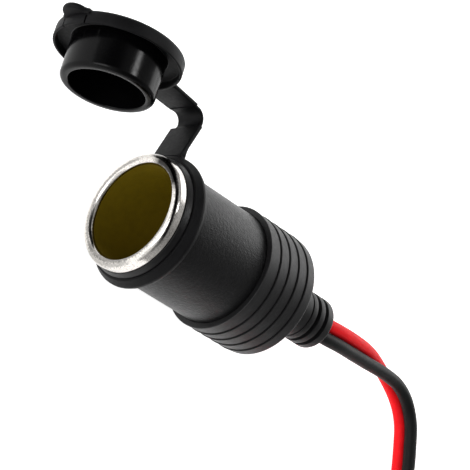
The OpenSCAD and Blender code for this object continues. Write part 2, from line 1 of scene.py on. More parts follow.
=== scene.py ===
"""Dressed model of an in-line twelve volt socket for a car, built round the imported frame.

The classes hold their sizes in millimetres, and their meshes are made in metres. The bore lies
along Y with its mouth towards -Y, and the cap stands open on the -X side.
"""

import logging
import math
from dataclasses import dataclass
from enum import Enum

import bmesh
import bpy
from mathutils import Matrix, Vector


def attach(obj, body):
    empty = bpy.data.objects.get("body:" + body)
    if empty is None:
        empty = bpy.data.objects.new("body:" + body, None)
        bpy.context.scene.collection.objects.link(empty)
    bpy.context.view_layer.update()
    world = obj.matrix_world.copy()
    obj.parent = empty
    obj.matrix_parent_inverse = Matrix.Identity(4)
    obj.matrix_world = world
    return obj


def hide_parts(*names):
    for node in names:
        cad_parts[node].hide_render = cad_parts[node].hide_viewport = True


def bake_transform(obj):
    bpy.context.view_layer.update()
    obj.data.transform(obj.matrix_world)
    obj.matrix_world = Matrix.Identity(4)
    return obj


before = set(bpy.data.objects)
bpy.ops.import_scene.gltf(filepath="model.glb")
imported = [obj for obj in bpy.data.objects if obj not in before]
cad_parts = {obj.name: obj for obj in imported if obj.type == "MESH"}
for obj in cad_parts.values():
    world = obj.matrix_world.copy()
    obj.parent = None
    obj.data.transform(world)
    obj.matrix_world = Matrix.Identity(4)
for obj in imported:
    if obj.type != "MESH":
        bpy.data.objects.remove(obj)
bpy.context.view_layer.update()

MM = 0.001
IMAGE = 470  # pixels across the photograph
SENSOR = 36.0  # millimetres across the camera's sensor
WELD = 1e-6  # metres within which points are merged
SHARP = 32.0  # degrees past which an edge is shaded sharp

# Sizes in millimetres that more than one sub-assembly keeps to.
LEAD_R = 1.55
PAIR_HALF = 1.6
RELIEF_X = -0.6
RELIEF_END = 61.3
COIL_X, COIL_Y, COIL_R = 46.0, 99.6, 18.5

log = logging.getLogger("socket")

Point2 = tuple[float, float]
Point3 = tuple[float, float, float]
Colour = tuple[float, float, float]


class Body(Enum):
    """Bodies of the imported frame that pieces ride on."""

    SOCKET = "socket"
    STRAP = "strap"
    CAP = "cap"


class Slot(Enum):
    """Material slots of the record."""

    MOULDED = "moulded_black"
    SOFT = "soft_black"
    TETHER = "tether_rubber"
    PLATED = "plated_steel"
    BOARD = "phenolic_board"
    WHITE = "white_insulator"
    BRASS = "brass"
    TINNED = "tinned_metal"
    ZINC = "zinc_steel"
    RED = "red_insulation"
    BLACK = "black_insulation"
    TIE = "tie_plastic"


# ---- finishes


class Shade:
    """Builds the nodes of one material round its Principled shader."""

    def __init__(self, name: str) -> None:
        """Start an empty material.

        Args:
            name: The material's name.
        """
        self.material = bpy.data.materials.new(name)
        self.material.use_nodes = True
        self.nodes = self.material.node_tree.nodes
        self.links = self.material.node_tree.links
        self.shader = self.nodes["Principled BSDF"]
        self.place = self.nodes.new("ShaderNodeTexCoord").outputs["Object"]

    def set(self, **values: object) -> None:
        """Set the shader's own sockets, an underscore standing for a space.

        Args:
            values: Socket names and their values.
        """
        for name, value in values.items():
            self.shader.inputs[name.replace("_", " ")].default_value = value

    def noise(self, size: float, detail: float = 2.0, stretch: Point3 = (1, 1, 1)) -> object:
        """Noise on object coordinates.

        Args:
            size: Size of its features in millimetres.
            detail: Octaves of finer noise.
            stretch: How much longer the features are along each axis.

        Returns:
            The noise's value socket.
        """
        mapping = self.nodes.new("ShaderNodeMapping")
        mapping.inputs["Scale"].default_value = [1 / s for s in stretch]
        texture = self.nodes.new("ShaderNodeTexNoise")
        texture.inputs["Scale"].default_value = 1 / (size * MM)
        texture.inputs["Detail"].default_value = detail
        self.links.new(self.place, mapping.inputs["Vector"])
        self.links.new(mapping.outputs["Vector"], texture.inputs["Vector"])
        return texture.outputs["Fac"]

    def pebbles(self, size: float) -> object:
        """Distance field of small cells, for moulded grain.

        Args:
            size: Size of a cell in millimetres.

        Returns:
            The cells' distance socket.
        """
        texture = self.nodes.new("ShaderNodeTexVoronoi")
        texture.feature = "SMOOTH_F1"
        texture.inputs["Scale"].default_value = 1 / (size * MM)
        self.links.new(self.place, texture.inputs["Vector"])
        return texture.outputs["Distance"]

    def math(self, kind: str, a: object, b: object = 0.0) -> object:
        """One Math node.

        Args:
            kind: Operation name.
            a: First socket or number.
            b: Second socket or number, for an operation on two.

        Returns:
            The result socket.
        """
        node = self.nodes.new("ShaderNodeMath")
        node.operation = kind
        for slot, value in zip(node.inputs, (a, b)):
            if isinstance(value, (int, float)):
                slot.default_value = value
            else:
                self.links.new(value, slot)
        return node.outputs[0]

    def span(self, value: object, low: float, high: float, from_low: float = 0.3,
             from_high: float = 0.7) -> object:
        """Map a value from one range to another.

        Args:
            value: Socket to map.
            low: Result at the lower end.
            high: Result at the upper end.
            from_low: Lower end of the value.
            from_high: Upper end of the value.

        Returns:
            The mapped socket.
        """
        node = self.nodes.new("ShaderNodeMapRange")
        self.links.new(value, node.inputs["Value"])
        for name, number in (("From Min", from_low), ("From Max", from_high), ("To Min", low),
                             ("To Max", high)):
            node.inputs[name].default_value = number
        return node.outputs["Result"]

    def tint(self, value: object, dark: Colour, light: Colour) -> None:
        """Let a value move the base colour between two colours.

        Args:
            value: Socket from 0 to 1.
            dark: Colour at 0.
            light: Colour at 1.
        """
        mix = self.nodes.new("ShaderNodeMix")
        mix.data_type = "RGBA"
        mix.inputs["A"].default_value = (*dark, 1)
        mix.inputs["B"].default_value = (*light, 1)
        self.links.new(value, mix.inputs["Factor"])
        self.links.new(mix.outputs["Result"], self.shader.inputs["Base Color"])

    def roughness(self, value: object) -> None:
        """Drive the roughness from a socket."""
        self.links.new(value, self.shader.inputs["Roughness"])

    def bump(self, height: object, depth: float, strength: object = 1.0) -> None:
        """Add a bump on top of those already there.

        Args:
            height: Height socket.
            depth: Depth in millimetres.
            strength: Socket or number.
        """
        node = self.nodes.new("ShaderNodeBump")
        node.inputs["Distance"].default_value = depth * MM
        if isinstance(strength, (int, float)):
            node.inputs["Strength"].default_value = strength
        else:
            self.links.new(strength, node.inputs["Strength"])
        self.links.new(height, node.inputs["Height"])
        target = self.shader.inputs["Normal"]
        if target.is_linked:
            self.links.new(target.links[0].from_socket, node.inputs["Normal"])
        self.links.new(node.outputs["Normal"], target)

    def axis(self, name: str) -> object:
        """Object coordinate along one axis.

        Args:
            name: X, Y or Z.

        Returns:
            The coordinate's socket, in metres.
        """
        node = self.nodes.new("ShaderNodeSeparateXYZ")
        self.links.new(self.place, node.inputs["Vector"])
        return node.outputs[name]


def scaled(colour: Colour, factor: float) -> Colour:
    """Colour times a factor."""
    return tuple(min(1.0, part * factor) for part in colour)


@dataclass(frozen=True)
class Plastic:
    """Moulded plastic or rubber with a fine grain and faint mottling.

    Where smooth_before is given, the grain is all but polished away in front of that place.
    """

    name: str
    colour: Colour
    rough: float
    grain: float
    grain_depth: float
    gleam: float = 0.28
    coat: float = 0.0
    mottle: float = 0.2
    swing: float = 0.05
    smooth_before: float | None = None
    smooth_fade: float = 0.4
    smooth_share: float = 0.12

    def build(self) -> bpy.types.Material:
        """Make the material.

        Returns:
            The material.
        """
        shade = Shade(self.name)
        shade.set(IOR=1.5, Specular_IOR_Level=self.gleam, Coat_Weight=self.coat,
                  Coat_Roughness=0.18)
        shade.tint(shade.span(shade.noise(2.2, 3), 0, 1), scaled(self.colour, 1 - self.mottle),
                   scaled(self.colour, 1 + self.mottle))
        shade.roughness(shade.span(shade.noise(0.7, 3), self.rough - self.swing,
                                   self.rough + self.swing))
        strength: object = 1.0
        if self.smooth_before is not None:
            strength = shade.span(shade.axis("Y"), self.smooth_share, 1.0,
                                  self.smooth_before * MM,
                                  (self.smooth_before + self.smooth_fade) * MM)
        shade.bump(shade.pebbles(self.grain), self.grain_depth, strength)
        shade.bump(shade.noise(self.grain * 4, 2), self.grain_depth * 1.5, strength)
        return shade.material


@dataclass(frozen=True)
class Metal:
    """Plated or bare metal with a slight unevenness and haze."""

    name: str
    colour: Colour
    rough: float
    wave: float = 0.004
    haze: float = 0.04
    metallic: float = 1.0

    def build(self) -> bpy.types.Material:
        """Make the material.

        Returns:
            The material.
        """
        shade = Shade(self.name)
        shade.set(Metallic=self.metallic)
        shade.tint(shade.span(shade.noise(1.6, 4), 0, 1), scaled(self.colour, 0.88), self.colour)
        shade.roughness(shade.span(shade.noise(0.5, 3), self.rough, self.rough + self.haze))
        shade.bump(shade.noise(1.1, 1), self.wave)
        return shade.material


@dataclass(frozen=True)
class DarkReflection:
    """Painted dark reflection along part of the rolled lip, by angles in degrees.

    The place round the bore is measured from +X towards +Z. The place on the roll is 0 at its
    outermost line, 90 at its front and 180 inside the bore.
    """

    start: float
    end: float
    roll_start: float
    roll_end: float
    half_width: float
    depth: float


@dataclass(frozen=True)
class Plating:
    """Bright plating on the rolled lip, freckled, with dark reflections painted along its curl."""

    name: str
    colour: Colour
    # Dark colour of the freckles and of the painted dark reflections.
    freckle_and_reflection_dark: Colour = (0.004, 0.0038, 0.0035)
    curl_at: float = 11.925
    fade: float = 12.0
    core_share: float = 0.45
    ravel: Point2 = (0.7, 1.35)
    # Bands of painted dark reflection, placed round the bore and on the roll.
    dark_reflections: tuple[DarkReflection, ...] = (
        DarkReflection(50, 135, 12, 84, 20, 0.97),
        DarkReflection(106, 168, 88, 112, 46, 0.96),
        DarkReflection(118, 176, 48, 48, 24, 0.8),
        DarkReflection(-178, -40, 104, 106, 19, 0.5),
        DarkReflection(-58, 86, 112, 112, 34, 0.62),
        DarkReflection(-52, 24, 72, 62, 38, 0.4),
        DarkReflection(-128, 40, 172, 172, 22, 0.7),
    )

    def build(self) -> bpy.types.Material:
        """Make the material.

        Returns:
            The material.
        """
        shade = Shade(self.name)
        shade.set(Metallic=1.0)
        x, y, z = (shade.axis(name) for name in "XYZ")
        reach = shade.math("SQRT", shade.math("ADD", shade.math("MULTIPLY", x, x),
                                              shade.math("MULTIPLY", z, z)))
        out = shade.math("SUBTRACT", reach, self.curl_at * MM)
        roll = shade.math("ARCTAN2", shade.math("MULTIPLY", y, -1.0), out)
        around = shade.math("ARCTAN2", z, x)
        freckle = shade.noise(0.32, 5)
        freckle_and_reflection_share = shade.span(freckle, 0.74, 1.0, 0.38, 0.56)
        # Darken the colour by each band of painted dark reflection.
        for dark_band in self.dark_reflections:
            left = self.left_by_reflection(shade, dark_band, around, roll, freckle)
            freckle_and_reflection_share = shade.math("MULTIPLY", freckle_and_reflection_share, left)
        shade.tint(freckle_and_reflection_share, self.freckle_and_reflection_dark, self.colour)
        shade.roughness(shade.span(freckle, 0.1, 0.2))
        shade.bump(shade.noise(0.4, 3), 0.006)
        return shade.material

    def left_by_reflection(self, shade: Shade, dark_band: DarkReflection, around: object, roll: object,
                freckle: object) -> object:
        """Share of the plating's brightness that one painted dark reflection leaves.

        Args:
            shade: The material's nodes.
            dark_band: The painted dark reflection.
            around: Socket of the place round the bore.
            roll: Socket of the place on the roll.
            freckle: Socket of the noise that ravels its edges.

        Returns:
            The share's socket.
        """
        start, end, roll_start, roll_end, width, fade = (math.radians(angle) for angle in (
            dark_band.start, dark_band.end, dark_band.roll_start, dark_band.roll_end, dark_band.half_width,
            self.fade))
        middle = shade.span(around, roll_start, roll_end, start, end)
        away = shade.math("ABSOLUTE", shade.math("SUBTRACT", roll, middle))
        ravel = shade.span(freckle, *self.ravel)
        near = shade.span(shade.math("MULTIPLY", away, ravel), 1.0, 0.0,
                          width * self.core_share, width)
        first = shade.span(around, 0.0, 1.0, start, start + fade)
        last = shade.span(around, 1.0, 0.0, end - fade, end)
        share = shade.math("MULTIPLY", near, shade.math("MULTIPLY", first, last))
        return shade.span(share, 1.0, 1.0 - dark_band.depth, 0.0, 1.0)


@dataclass(frozen=True)
class Insulation:
    """Extruded soft vinyl with faint drawing marks along the lead."""

    name: str
    colour: Colour
    rough: float
    soft: float = 0.0
    gleam: float = 0.2

    def build(self) -> bpy.types.Material:
        """Make the material.

        Returns:
            The material.
        """
        shade = Shade(self.name)
        shade.set(IOR=1.48, Specular_IOR_Level=self.gleam, Subsurface_Weight=self.soft,
                  Subsurface_Scale=0.6 * MM)
        shade.tint(shade.span(shade.noise(3, 3), 0, 1), scaled(self.colour, 0.86),
                   scaled(self.colour, 1.1))
        shade.roughness(shade.span(shade.noise(0.6, 2), self.rough - 0.05, self.rough + 0.07))
        shade.bump(shade.noise(0.5, 3), 0.012)
        return shade.material


@dataclass(frozen=True)
class Board:
    """Pressed insulating board with fibres across it."""

    name: str
    colour: Colour

    def build(self) -> bpy.types.Material:
        """Make the material.

        Returns:
            The material.
        """
        shade = Shade(self.name)
        fibre = shade.noise(0.35, 4, (5, 1, 1))
        shade.tint(shade.span(fibre, 0, 1), scaled(self.colour, 0.7), scaled(self.colour, 1.3))
        shade.roughness(shade.span(fibre, 0.45, 0.65))
        shade.bump(fibre, 0.02)
        return shade.material


class Paint:
    """Every finish of the socket, each made once."""

    def __init__(self) -> None:
        """Build all the materials."""
        self.barrel = Plastic("barrel_grain", (0.0038, 0.0038, 0.0042), 0.38, 0.2, 0.045, 0.26,
                              smooth_before=5.3).build()
        self.boot = Plastic("boot_rubber", (0.008, 0.008, 0.0085), 0.46, 0.22, 0.012).build()
        self.tether = Plastic("tether_satin", (0.0045, 0.0045, 0.005), 0.5, 0.25, 0.006,
                              0.1).build()
        self.gloss = Plastic("plug_gloss", (0.0012, 0.0012, 0.0014), 0.2, 0.6, 0.002, 0.08,
                             0.06).build()
        self.chrome = Plating("lip_plating", (0.74, 0.71, 0.67)).build()
        self.bore = Metal("bore_passivated", (0.2, 0.14, 0.001), 0.5, haze=0.1,
                          metallic=0.4).build()
        self.tinned = Metal("tinned_copper", (0.78, 0.77, 0.74), 0.22).build()
        self.zinc = Metal("zinc_plate", (0.7, 0.7, 0.69), 0.28).build()
        self.brass = Metal("contact_brass", (0.78, 0.6, 0.28), 0.24).build()
        self.board = Board("phenolic_disc", (0.22, 0.12, 0.05)).build()
        self.white = Plastic("nylon_washer", (0.72, 0.69, 0.6), 0.45, 0.5, 0.006).build()
        self.red = Insulation("red_vinyl", (1.0, 0.01, 0.016), 0.5, 0.12, 0.08).build()
        self.black = Insulation("black_vinyl", (0.007, 0.008, 0.008), 0.5, gleam=0.12).build()
        self.tie = Plastic("tie_nylon", (0.78, 0.77, 0.72), 0.4, 0.4, 0.006).build()


# ---- mesh helpers


def make_object(name: str, data: bpy.types.ID) -> bpy.types.Object:
    """Link a new object at the origin.

    Args:
        name: The object's name.
        data: Its mesh, camera or light.

    Returns:
        The object.
    """
    thing = bpy.data.objects.new(name, data)
    bpy.context.scene.collection.objects.link(thing)
    return thing


def mesh_of(name: str, points: list, edges: list = (), faces: list = ()) -> bpy.types.Mesh:
    """Mesh from points in millimetres.

    Args:
        name: The mesh's name.
        points: Points in millimetres.
        edges: Edges by point number.
        faces: Faces by point number.

    Returns:
        The mesh, in metres.
    """
    mesh = bpy.data.meshes.new(name)
    mesh.from_pydata([tuple(MM * c for c in p) for p in points], list(edges), list(faces))
    return mesh


def shade_edges(mesh: bpy.types.Mesh, sharp: float) -> None:
    """Shade a mesh smooth, with a break at edges past an angle in degrees."""
    mesh.shade_smooth()
    mesh.set_sharp_from_angle(angle=math.radians(sharp))


def settle(mesh: bpy.types.Mesh, sharp: float = SHARP, weld: float = WELD) -> None:
    """Weld a closed mesh, point its faces outwards and shade it smooth between sharp edges.

    Args:
        mesh: The mesh.
        sharp: Edge angle in degrees past which shading breaks.
        weld: Distance in metres within which points are merged.
    """
    work = bmesh.new()
    work.from_mesh(mesh)
    bmesh.ops.remove_doubles(work, verts=work.verts, dist=weld)
    bmesh.ops.recalc_face_normals(work, faces=work.faces)
    work.to_mesh(mesh)
    work.free()
    shade_edges(mesh, sharp)


def stack_faces(ring: int, levels: int) -> list[tuple[int, ...]]:
    """Faces of a closed stack of rings that have the same number of points.

    Args:
        ring: Number of points in each ring.
        levels: Number of rings.

    Returns:
        The sides and then both ends, by point number.
    """
    sides = [(s * ring + k, s * ring + (k + 1) % ring, (s + 1) * ring + (k + 1) % ring,
              (s + 1) * ring + k) for s in range(levels - 1) for k in range(ring)]
    return sides + [tuple(range(ring)), tuple(range((levels - 1) * ring, levels * ring))]


def solid(name: str, points: list, faces: list, material: bpy.types.Material | None = None,
          sharp: float = SHARP, weld: float = WELD,
          turned: Matrix | None = None) -> bpy.types.Object:
    """Closed object from points and faces.

    Args:
        name: The object's name.
        points: Points in millimetres.
        faces: Faces by point number.
        material: Its material, if it needs one.
        sharp: Edge angle in degrees past which shading breaks.
        weld: Distance in metres within which points are merged.
        turned: Placement in metres.

    Returns:
        The object.
    """
    mesh = mesh_of(name, points, faces=faces)
    if turned:
        mesh.transform(turned)
    settle(mesh, sharp, weld)
    if material:
        mesh.materials.append(material)
    return make_object(name, mesh)


def join(name: str, parts: list[bpy.types.Object], sharp: float = SHARP) -> bpy.types.Object:
    """Join objects that have no transforms into one new piece.

    Args:
        name: The piece's name.
        parts: Objects to join; they are removed.
        sharp: Edge angle in degrees past which shading breaks.

    Returns:
        The joined piece.
    """
    work = bmesh.new()
    materials: list[bpy.types.Material] = []
    for part in parts:
        start = len(work.faces)
        work.from_mesh(part.data)
        work.faces.ensure_lookup_table()
        for face in work.faces[start:]:
            material = part.data.materials[face.material_index]
            if material not in materials:
                materials.append(material)
            face.material_index = materials.index(material)
    mesh = bpy.data.meshes.new(name)
    work.to_mesh(mesh)
    work.free()
    for material in materials:
        mesh.materials.append(material)
    shade_edges(mesh, sharp)
    for part in parts:
        bpy.data.objects.remove(part)
    return make_object(name, mesh)


def cut_by(piece: bpy.types.Object, tool: bpy.types.Object, sharp: float = SHARP) -> None:
    """Cut a tool's shape out of a piece and remove the tool.

    Args:
        piece: The piece, changed in place.
        tool: Closed mesh to take away.
        sharp: Edge angle in degrees past which shading breaks.
    """
    change = piece.modifiers.new("cut", "BOOLEAN")
    change.operation = "DIFFERENCE"
    change.solver = "EXACT"
    change.object = tool
    bpy.context.view_layer.update()
    graph = bpy.context.evaluated_depsgraph_get()
    mesh = bpy.data.meshes.new_from_object(piece.evaluated_get(graph))
    piece.modifiers.remove(change)
    piece.data = mesh
    bpy.data.objects.remove(tool)
    shade_edges(mesh, sharp)


def soften(points: list[Point2], radius: float, steps: int = 4, closed: bool = True) -> list:
    """Round the corners of an outline.

    Args:
        points: The outline.
        radius: Corner radius, made smaller where a side is short.
        steps: Number of pieces in each corner.
        closed: Whether the last point joins the first.

    Returns:
        The rounded outline.
    """
    least_turn = math.radians(12)
    out: list[Point2] = []
    count = len(points)
    for i, corner in enumerate(points):
        if not closed and i in (0, count - 1):
            out.append(corner)
            continue
        here = Vector(corner)
        back = Vector(points[i - 1]) - here
        on = Vector(points[(i + 1) % count]) - here
        turn = math.pi - back.angle(on, math.pi)
        if turn < least_turn:
            out.append(corner)
            continue
        reach = min(radius * math.tan(turn / 2), 0.45 * back.length, 0.45 * on.length)
        a, b = here + back.normalized() * reach, here + on.normalized() * reach
        for k in range(steps + 1):
            t = k / steps
            out.append(tuple(a * (1 - t) ** 2 + here * 2 * t * (1 - t) + b * t * t))
    return out


def arc(centre: Point2, radius: float, start: float, end: float, steps: int) -> list[Point2]:
    """Points on an arc.

    Args:
        centre: Its centre.
        radius: Its radius.
        start: First angle in degrees.
        end: Last angle in degrees.
        steps: Number of pieces.

    Returns:
        The points, both ends among them.
    """
    turns = [math.radians(start + (end - start) * k / steps) for k in range(steps + 1)]
    return [(centre[0] + radius * math.cos(t), centre[1] + radius * math.sin(t)) for t in turns]


def smooth_path(points: list[tuple], spacing: float) -> list[tuple]:
    """Smooth curve through points of any length, sampled by arc length.

    Args:
        points: Points whose first three numbers are a place.
        spacing: Distance between samples.

    Returns:
        The samples, each with as many numbers as the points.
    """
    out: list[tuple] = []
    for i in range(len(points) - 1):
        p0, p1 = points[max(i - 1, 0)], points[i]
        p2, p3 = points[i + 1], points[min(i + 2, len(points) - 1)]
        steps = max(2, round(math.dist(p1[:3], p2[:3]) / spacing))
        k1, k2 = (math.sqrt(max(1e-9, math.dist(a[:3], b[:3]))) for a, b in ((p0, p1), (p2, p3)))
        k = math.sqrt(math.dist(p1[:3], p2[:3]))
        m1 = [(c - b) if k1 < 1e-3 else k * ((b - a) / k1 - (c - a) / (k1 + k) + (c - b) / k)
              for a, b, c in zip(p0, p1, p2)]
        m2 = [(c - b) if k2 < 1e-3 else k * ((c - b) / k - (d - b) / (k + k2) + (d - c) / k2)
              for b, c, d in zip(p1, p2, p3)]
        for j in range(steps):
            t = j / steps
            h = (2 * t**3 - 3 * t**2 + 1, t**3 - 2 * t**2 + t, 3 * t**2 - 2 * t**3, t**3 - t**2)
            out.append(tuple(h[0] * b + h[1] * m + h[2] * c + h[3] * n
                             for b, m, c, n in zip(p1, m1, p2, m2)))
    out.append(tuple(float(c) for c in points[-1]))
    return out


# ---- Geometry Nodes recipes


class Recipe:
    """A Geometry Nodes tree with named inputs that ends in Realize Instances and Set Material."""

    def __init__(self, name: str) -> None:
        """Start the tree with its geometry sockets.

        Args:
            name: The tree's name.
        """
        self.tree = bpy.data.node_groups.new(name, "GeometryNodeTree")
        for way in ("INPUT", "OUTPUT"):
            self.tree.interface.new_socket("Geometry", in_out=way,
                                           socket_type="NodeSocketGeometry")
        self.keys: dict[str, str] = {}
        self.source = self.tree.nodes.new("NodeGroupInput")
        self.sink = self.tree.nodes.new("NodeGroupOutput")

    def size(self, name: str, kind: str = "Float") -> object:
        """Add a named input.

        Args:
            name: The input's name.
            kind: Float, Int, Vector or Material.

        Returns:
            The socket that carries it inside the tree.
        """
        made = self.tree.interface.new_socket(name, in_out="INPUT",
                                              socket_type=f"NodeSocket{kind}")
        self.keys[name] = made.identifier
        return self.source.outputs[name]

    def node(self, kind: str, inputs: dict, **settings: object) -> object:
        """Add a node.

        Args:
            kind: The node's full type name.
            inputs: Values or sockets by input name or number.
            settings: Properties of the node.

        Returns:
            The node.
        """
        made = self.tree.nodes.new(kind)
        for key, value in settings.items():
            setattr(made, key, value)
        for key, value in inputs.items():
            if isinstance(value, bpy.types.NodeSocket):
                self.tree.links.new(value, made.inputs[key])
            else:
                made.inputs[key].default_value = value
        return made

    def close(self, geometry: object) -> None:
        """Finish the tree.

        Args:
            geometry: Socket with the result.
        """
        real = self.node("GeometryNodeRealizeInstances", {"Geometry": geometry})
        painted = self.node("GeometryNodeSetMaterial", {
            "Geometry": real.outputs[0], "Material": self.size("Material", "Material")})
        self.tree.links.new(painted.outputs[0], self.sink.inputs[0])

    def bake(self, name: str, mesh: bpy.types.Mesh, sharp: float = SHARP,
             weld: float = WELD, **values: object) -> bpy.types.Object:
        """Run the tree on a mesh and keep the result as a plain mesh.

        Args:
            name: The piece's name.
            mesh: Mesh that the tree starts from.
            sharp: Edge angle in degrees past which shading breaks.
            weld: Distance in metres within which points are merged.
            values: The named inputs, an underscore standing for a space.

        Returns:
            The baked piece.
        """
        draft = make_object(name + "_draft", mesh)
        change = draft.modifiers.new("recipe", "NODES")
        change.node_group = self.tree
        for key, value in values.items():
            change[self.keys[key.replace("_", " ")]] = value
        graph = bpy.context.evaluated_depsgraph_get()
        baked = bpy.data.meshes.new_from_object(draft.evaluated_get(graph))
        baked.name = name
        bpy.data.objects.remove(draft)
        settle(baked, sharp, weld)
        return make_object(name, baked)


def turning_recipe() -> Recipe:
    """Recipe that turns a flat outline about the Y axis.

    Returns:
        The recipe, whose mesh holds radius along X and place along the axis along Y.
    """
    recipe = Recipe("turned_form")
    hub = 1.0 * MM
    segments = recipe.size("Segments", "Int")
    outline = recipe.node("GeometryNodeMeshToCurve", {"Mesh": recipe.source.outputs["Geometry"]})
    inward = recipe.node("GeometryNodeTransform", {
        "Geometry": outline.outputs[0], "Translation": (-hub, 0, 0)})
    path = recipe.node("GeometryNodeCurvePrimitiveCircle", {"Resolution": segments, "Radius": hub})
    swept = recipe.node("GeometryNodeCurveToMesh", {
        "Curve": path.outputs["Curve"], "Profile Curve": inward.outputs[0]})
    along = recipe.node("GeometryNodeTransform", {
        "Geometry": swept.outputs[0], "Rotation": (math.pi / 2, 0, 0)})
    recipe.close(along.outputs[0])
    return recipe


def sweeping_recipe() -> Recipe:
    """Recipe that sweeps a round section along a line and closes its ends.

    Returns:
        The recipe, whose mesh is the line.
    """
    recipe = Recipe("swept_lead")
    radius, sides = recipe.size("Radius"), recipe.size("Sides", "Int")
    line = recipe.node("GeometryNodeMeshToCurve", {"Mesh": recipe.source.outputs["Geometry"]})
    section = recipe.node("GeometryNodeCurvePrimitiveCircle", {
        "Resolution": sides, "Radius": radius})
    swept = recipe.node("GeometryNodeCurveToMesh", {
        "Curve": line.outputs[0], "Profile Curve": section.outputs["Curve"], "Fill Caps": True})
    recipe.close(swept.outputs[0])
    return recipe


def strand_recipe() -> Recipe:
    """Recipe that lays wires round a middle one, twisted about the Y axis.

    Returns:
        The recipe, whose mesh holds one point at the start of the wires.
    """
    recipe = Recipe("twisted_strands")
    wire_sides, core_sides, spiral_steps = 12, 16, 40
    count = recipe.size("Count", "Int")
    lay, radius, length, turns = (recipe.size(name) for name in (
        "Lay Radius", "Strand Radius", "Length", "Turns"))
    section = recipe.node("GeometryNodeCurvePrimitiveCircle", {
        "Resolution": wire_sides, "Radius": radius})
    spiral = recipe.node("GeometryNodeCurveSpiral", {
        "Resolution": spiral_steps, "Rotations": turns, "Start Radius": lay, "End Radius": lay,
        "Height": length})
    strand = recipe.node("GeometryNodeCurveToMesh", {
        "Curve": spiral.outputs[0], "Profile Curve": section.outputs["Curve"], "Fill Caps": True})
    spots = recipe.node("GeometryNodeMeshLine", {"Count": count, "Offset": (0, 0, 0)})
    step = recipe.node("ShaderNodeMath", {0: math.tau, 1: count}, operation="DIVIDE")
    number = recipe.node("GeometryNodeInputIndex", {})
    turn = recipe.node("ShaderNodeMath", {0: number.outputs[0], 1: step.outputs[0]},
                       operation="MULTIPLY")
    spin = recipe.node("ShaderNodeCombineXYZ", {"Z": turn.outputs[0]})
    ring = recipe.node("GeometryNodeInstanceOnPoints", {
        "Points": spots.outputs[0], "Instance": strand.outputs[0], "Rotation": spin.outputs[0]})
    core = recipe.node("GeometryNodeMeshCylinder", {
        "Vertices": core_sides, "Radius": radius, "Depth": length})
    half = recipe.node("ShaderNodeMath", {0: length, 1: 0.5}, operation="MULTIPLY")
    lift = recipe.node("ShaderNodeCombineXYZ", {"Z": half.outputs[0]})
    raised = recipe.node("GeometryNodeTransform", {
        "Geometry": core.outputs[0], "Translation": lift.outputs[0]})
    both = recipe.node("GeometryNodeJoinGeometry", {})
    for part in (ring.outputs[0], raised.outputs[0]):
        recipe.tree.links.new(part, both.inputs[0])
    along = recipe.node("GeometryNodeTransform", {
        "Geometry": both.outputs[0], "Rotation": (math.pi / 2, 0, 0)})
    spot = recipe.node("GeometryNodeInstanceOnPoints", {
        "Points": recipe.source.outputs["Geometry"], "Instance": along.outputs[0]})
    recipe.close(spot.outputs[0])
    return recipe


def teeth_recipe() -> Recipe:
    """Recipe that sets a row of small ribs, each a flat block.

    Returns:
        The recipe, whose mesh holds the first rib's place as one point.
    """
    recipe = Recipe("tie_teeth")
    count, step, block = (recipe.size("Count", "Int"), recipe.size("Step", "Vector"),
                          recipe.size("Block", "Vector"))
    row = recipe.node("GeometryNodeMeshLine", {"Count": count, "Offset": step})
    rib = recipe.node("GeometryNodeMeshCube", {"Size": block})
    ribs = recipe.node("GeometryNodeInstanceOnPoints", {
        "Points": row.outputs[0], "Instance": rib.outputs[0]})
    placed = recipe.node("GeometryNodeInstanceOnPoints", {
        "Points": recipe.source.outputs["Geometry"], "Instance": ribs.outputs[0]})
    recipe.close(placed.outputs[0])
    return recipe


@dataclass
class Workshop:
    """The recipes and finishes that every sub-assembly works with."""

    paint: Paint
    turning: Recipe
    sweeping: Recipe
    strands: Recipe
    teeth: Recipe

    def turn(self, name: str, outline: list[Point2], material: bpy.types.Material,
             segments: int = 128, sharp: float = SHARP) -> bpy.types.Object:
        """Turn a closed outline about the bore axis.

        Args:
            name: The piece's name.
            outline: Points of radius and place along the axis; one that starts and ends on the
                axis is left open there.
            material: Its material.
            segments: Number of faces round it.
            sharp: Edge angle in degrees past which shading breaks.

        Returns:
            The piece.
        """
        count = len(outline)
        open_ended = abs(outline[0][0]) < 1e-6 and abs(outline[-1][0]) < 1e-6
        edges = [(i, (i + 1) % count) for i in range(count - (1 if open_ended else 0))]
        mesh = mesh_of(name, [(r, y, 0) for r, y in outline], edges)
        return self.turning.bake(name, mesh, sharp, Segments=segments, Material=material)

    def sweep(self, name: str, line: list[Point3], radius: float, material: bpy.types.Material,
              sides: int = 20) -> bpy.types.Object:
        """Sweep a round section along a line.

        Args:
            name: The piece's name.
            line: Points in millimetres.
            radius: Section radius in millimetres.
            material: Its material.
            sides: Number of faces round it.

        Returns:
            The piece.
        """
        mesh = mesh_of(name, line, [(i, i + 1) for i in range(len(line) - 1)])
        return self.sweeping.bake(name, mesh, 50, Radius=radius * MM, Sides=sides,
                                  Material=material)


@dataclass
class Part:
    """Sub-assembly that is made with the workshop's recipes and finishes."""

    shop: Workshop


def place(piece: bpy.types.Object, body: Body, slot: Slot, *nodes: str) -> bpy.types.Object:
    """Ride a piece on a body and hide the nodes that it stands for.

    Args:
        piece: The piece.
        body: Body it moves with.
        slot: Material slot that its finish comes from; not used.
        nodes: Nodes that it replaces.

    Returns:
        The piece.
    """
    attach(piece, body.value)
    if nodes:
        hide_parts(*nodes)
    log.info("%s: %d faces", piece.name, len(piece.data.polygons))
    return piece


# ---- the tube, the barrel and the boot


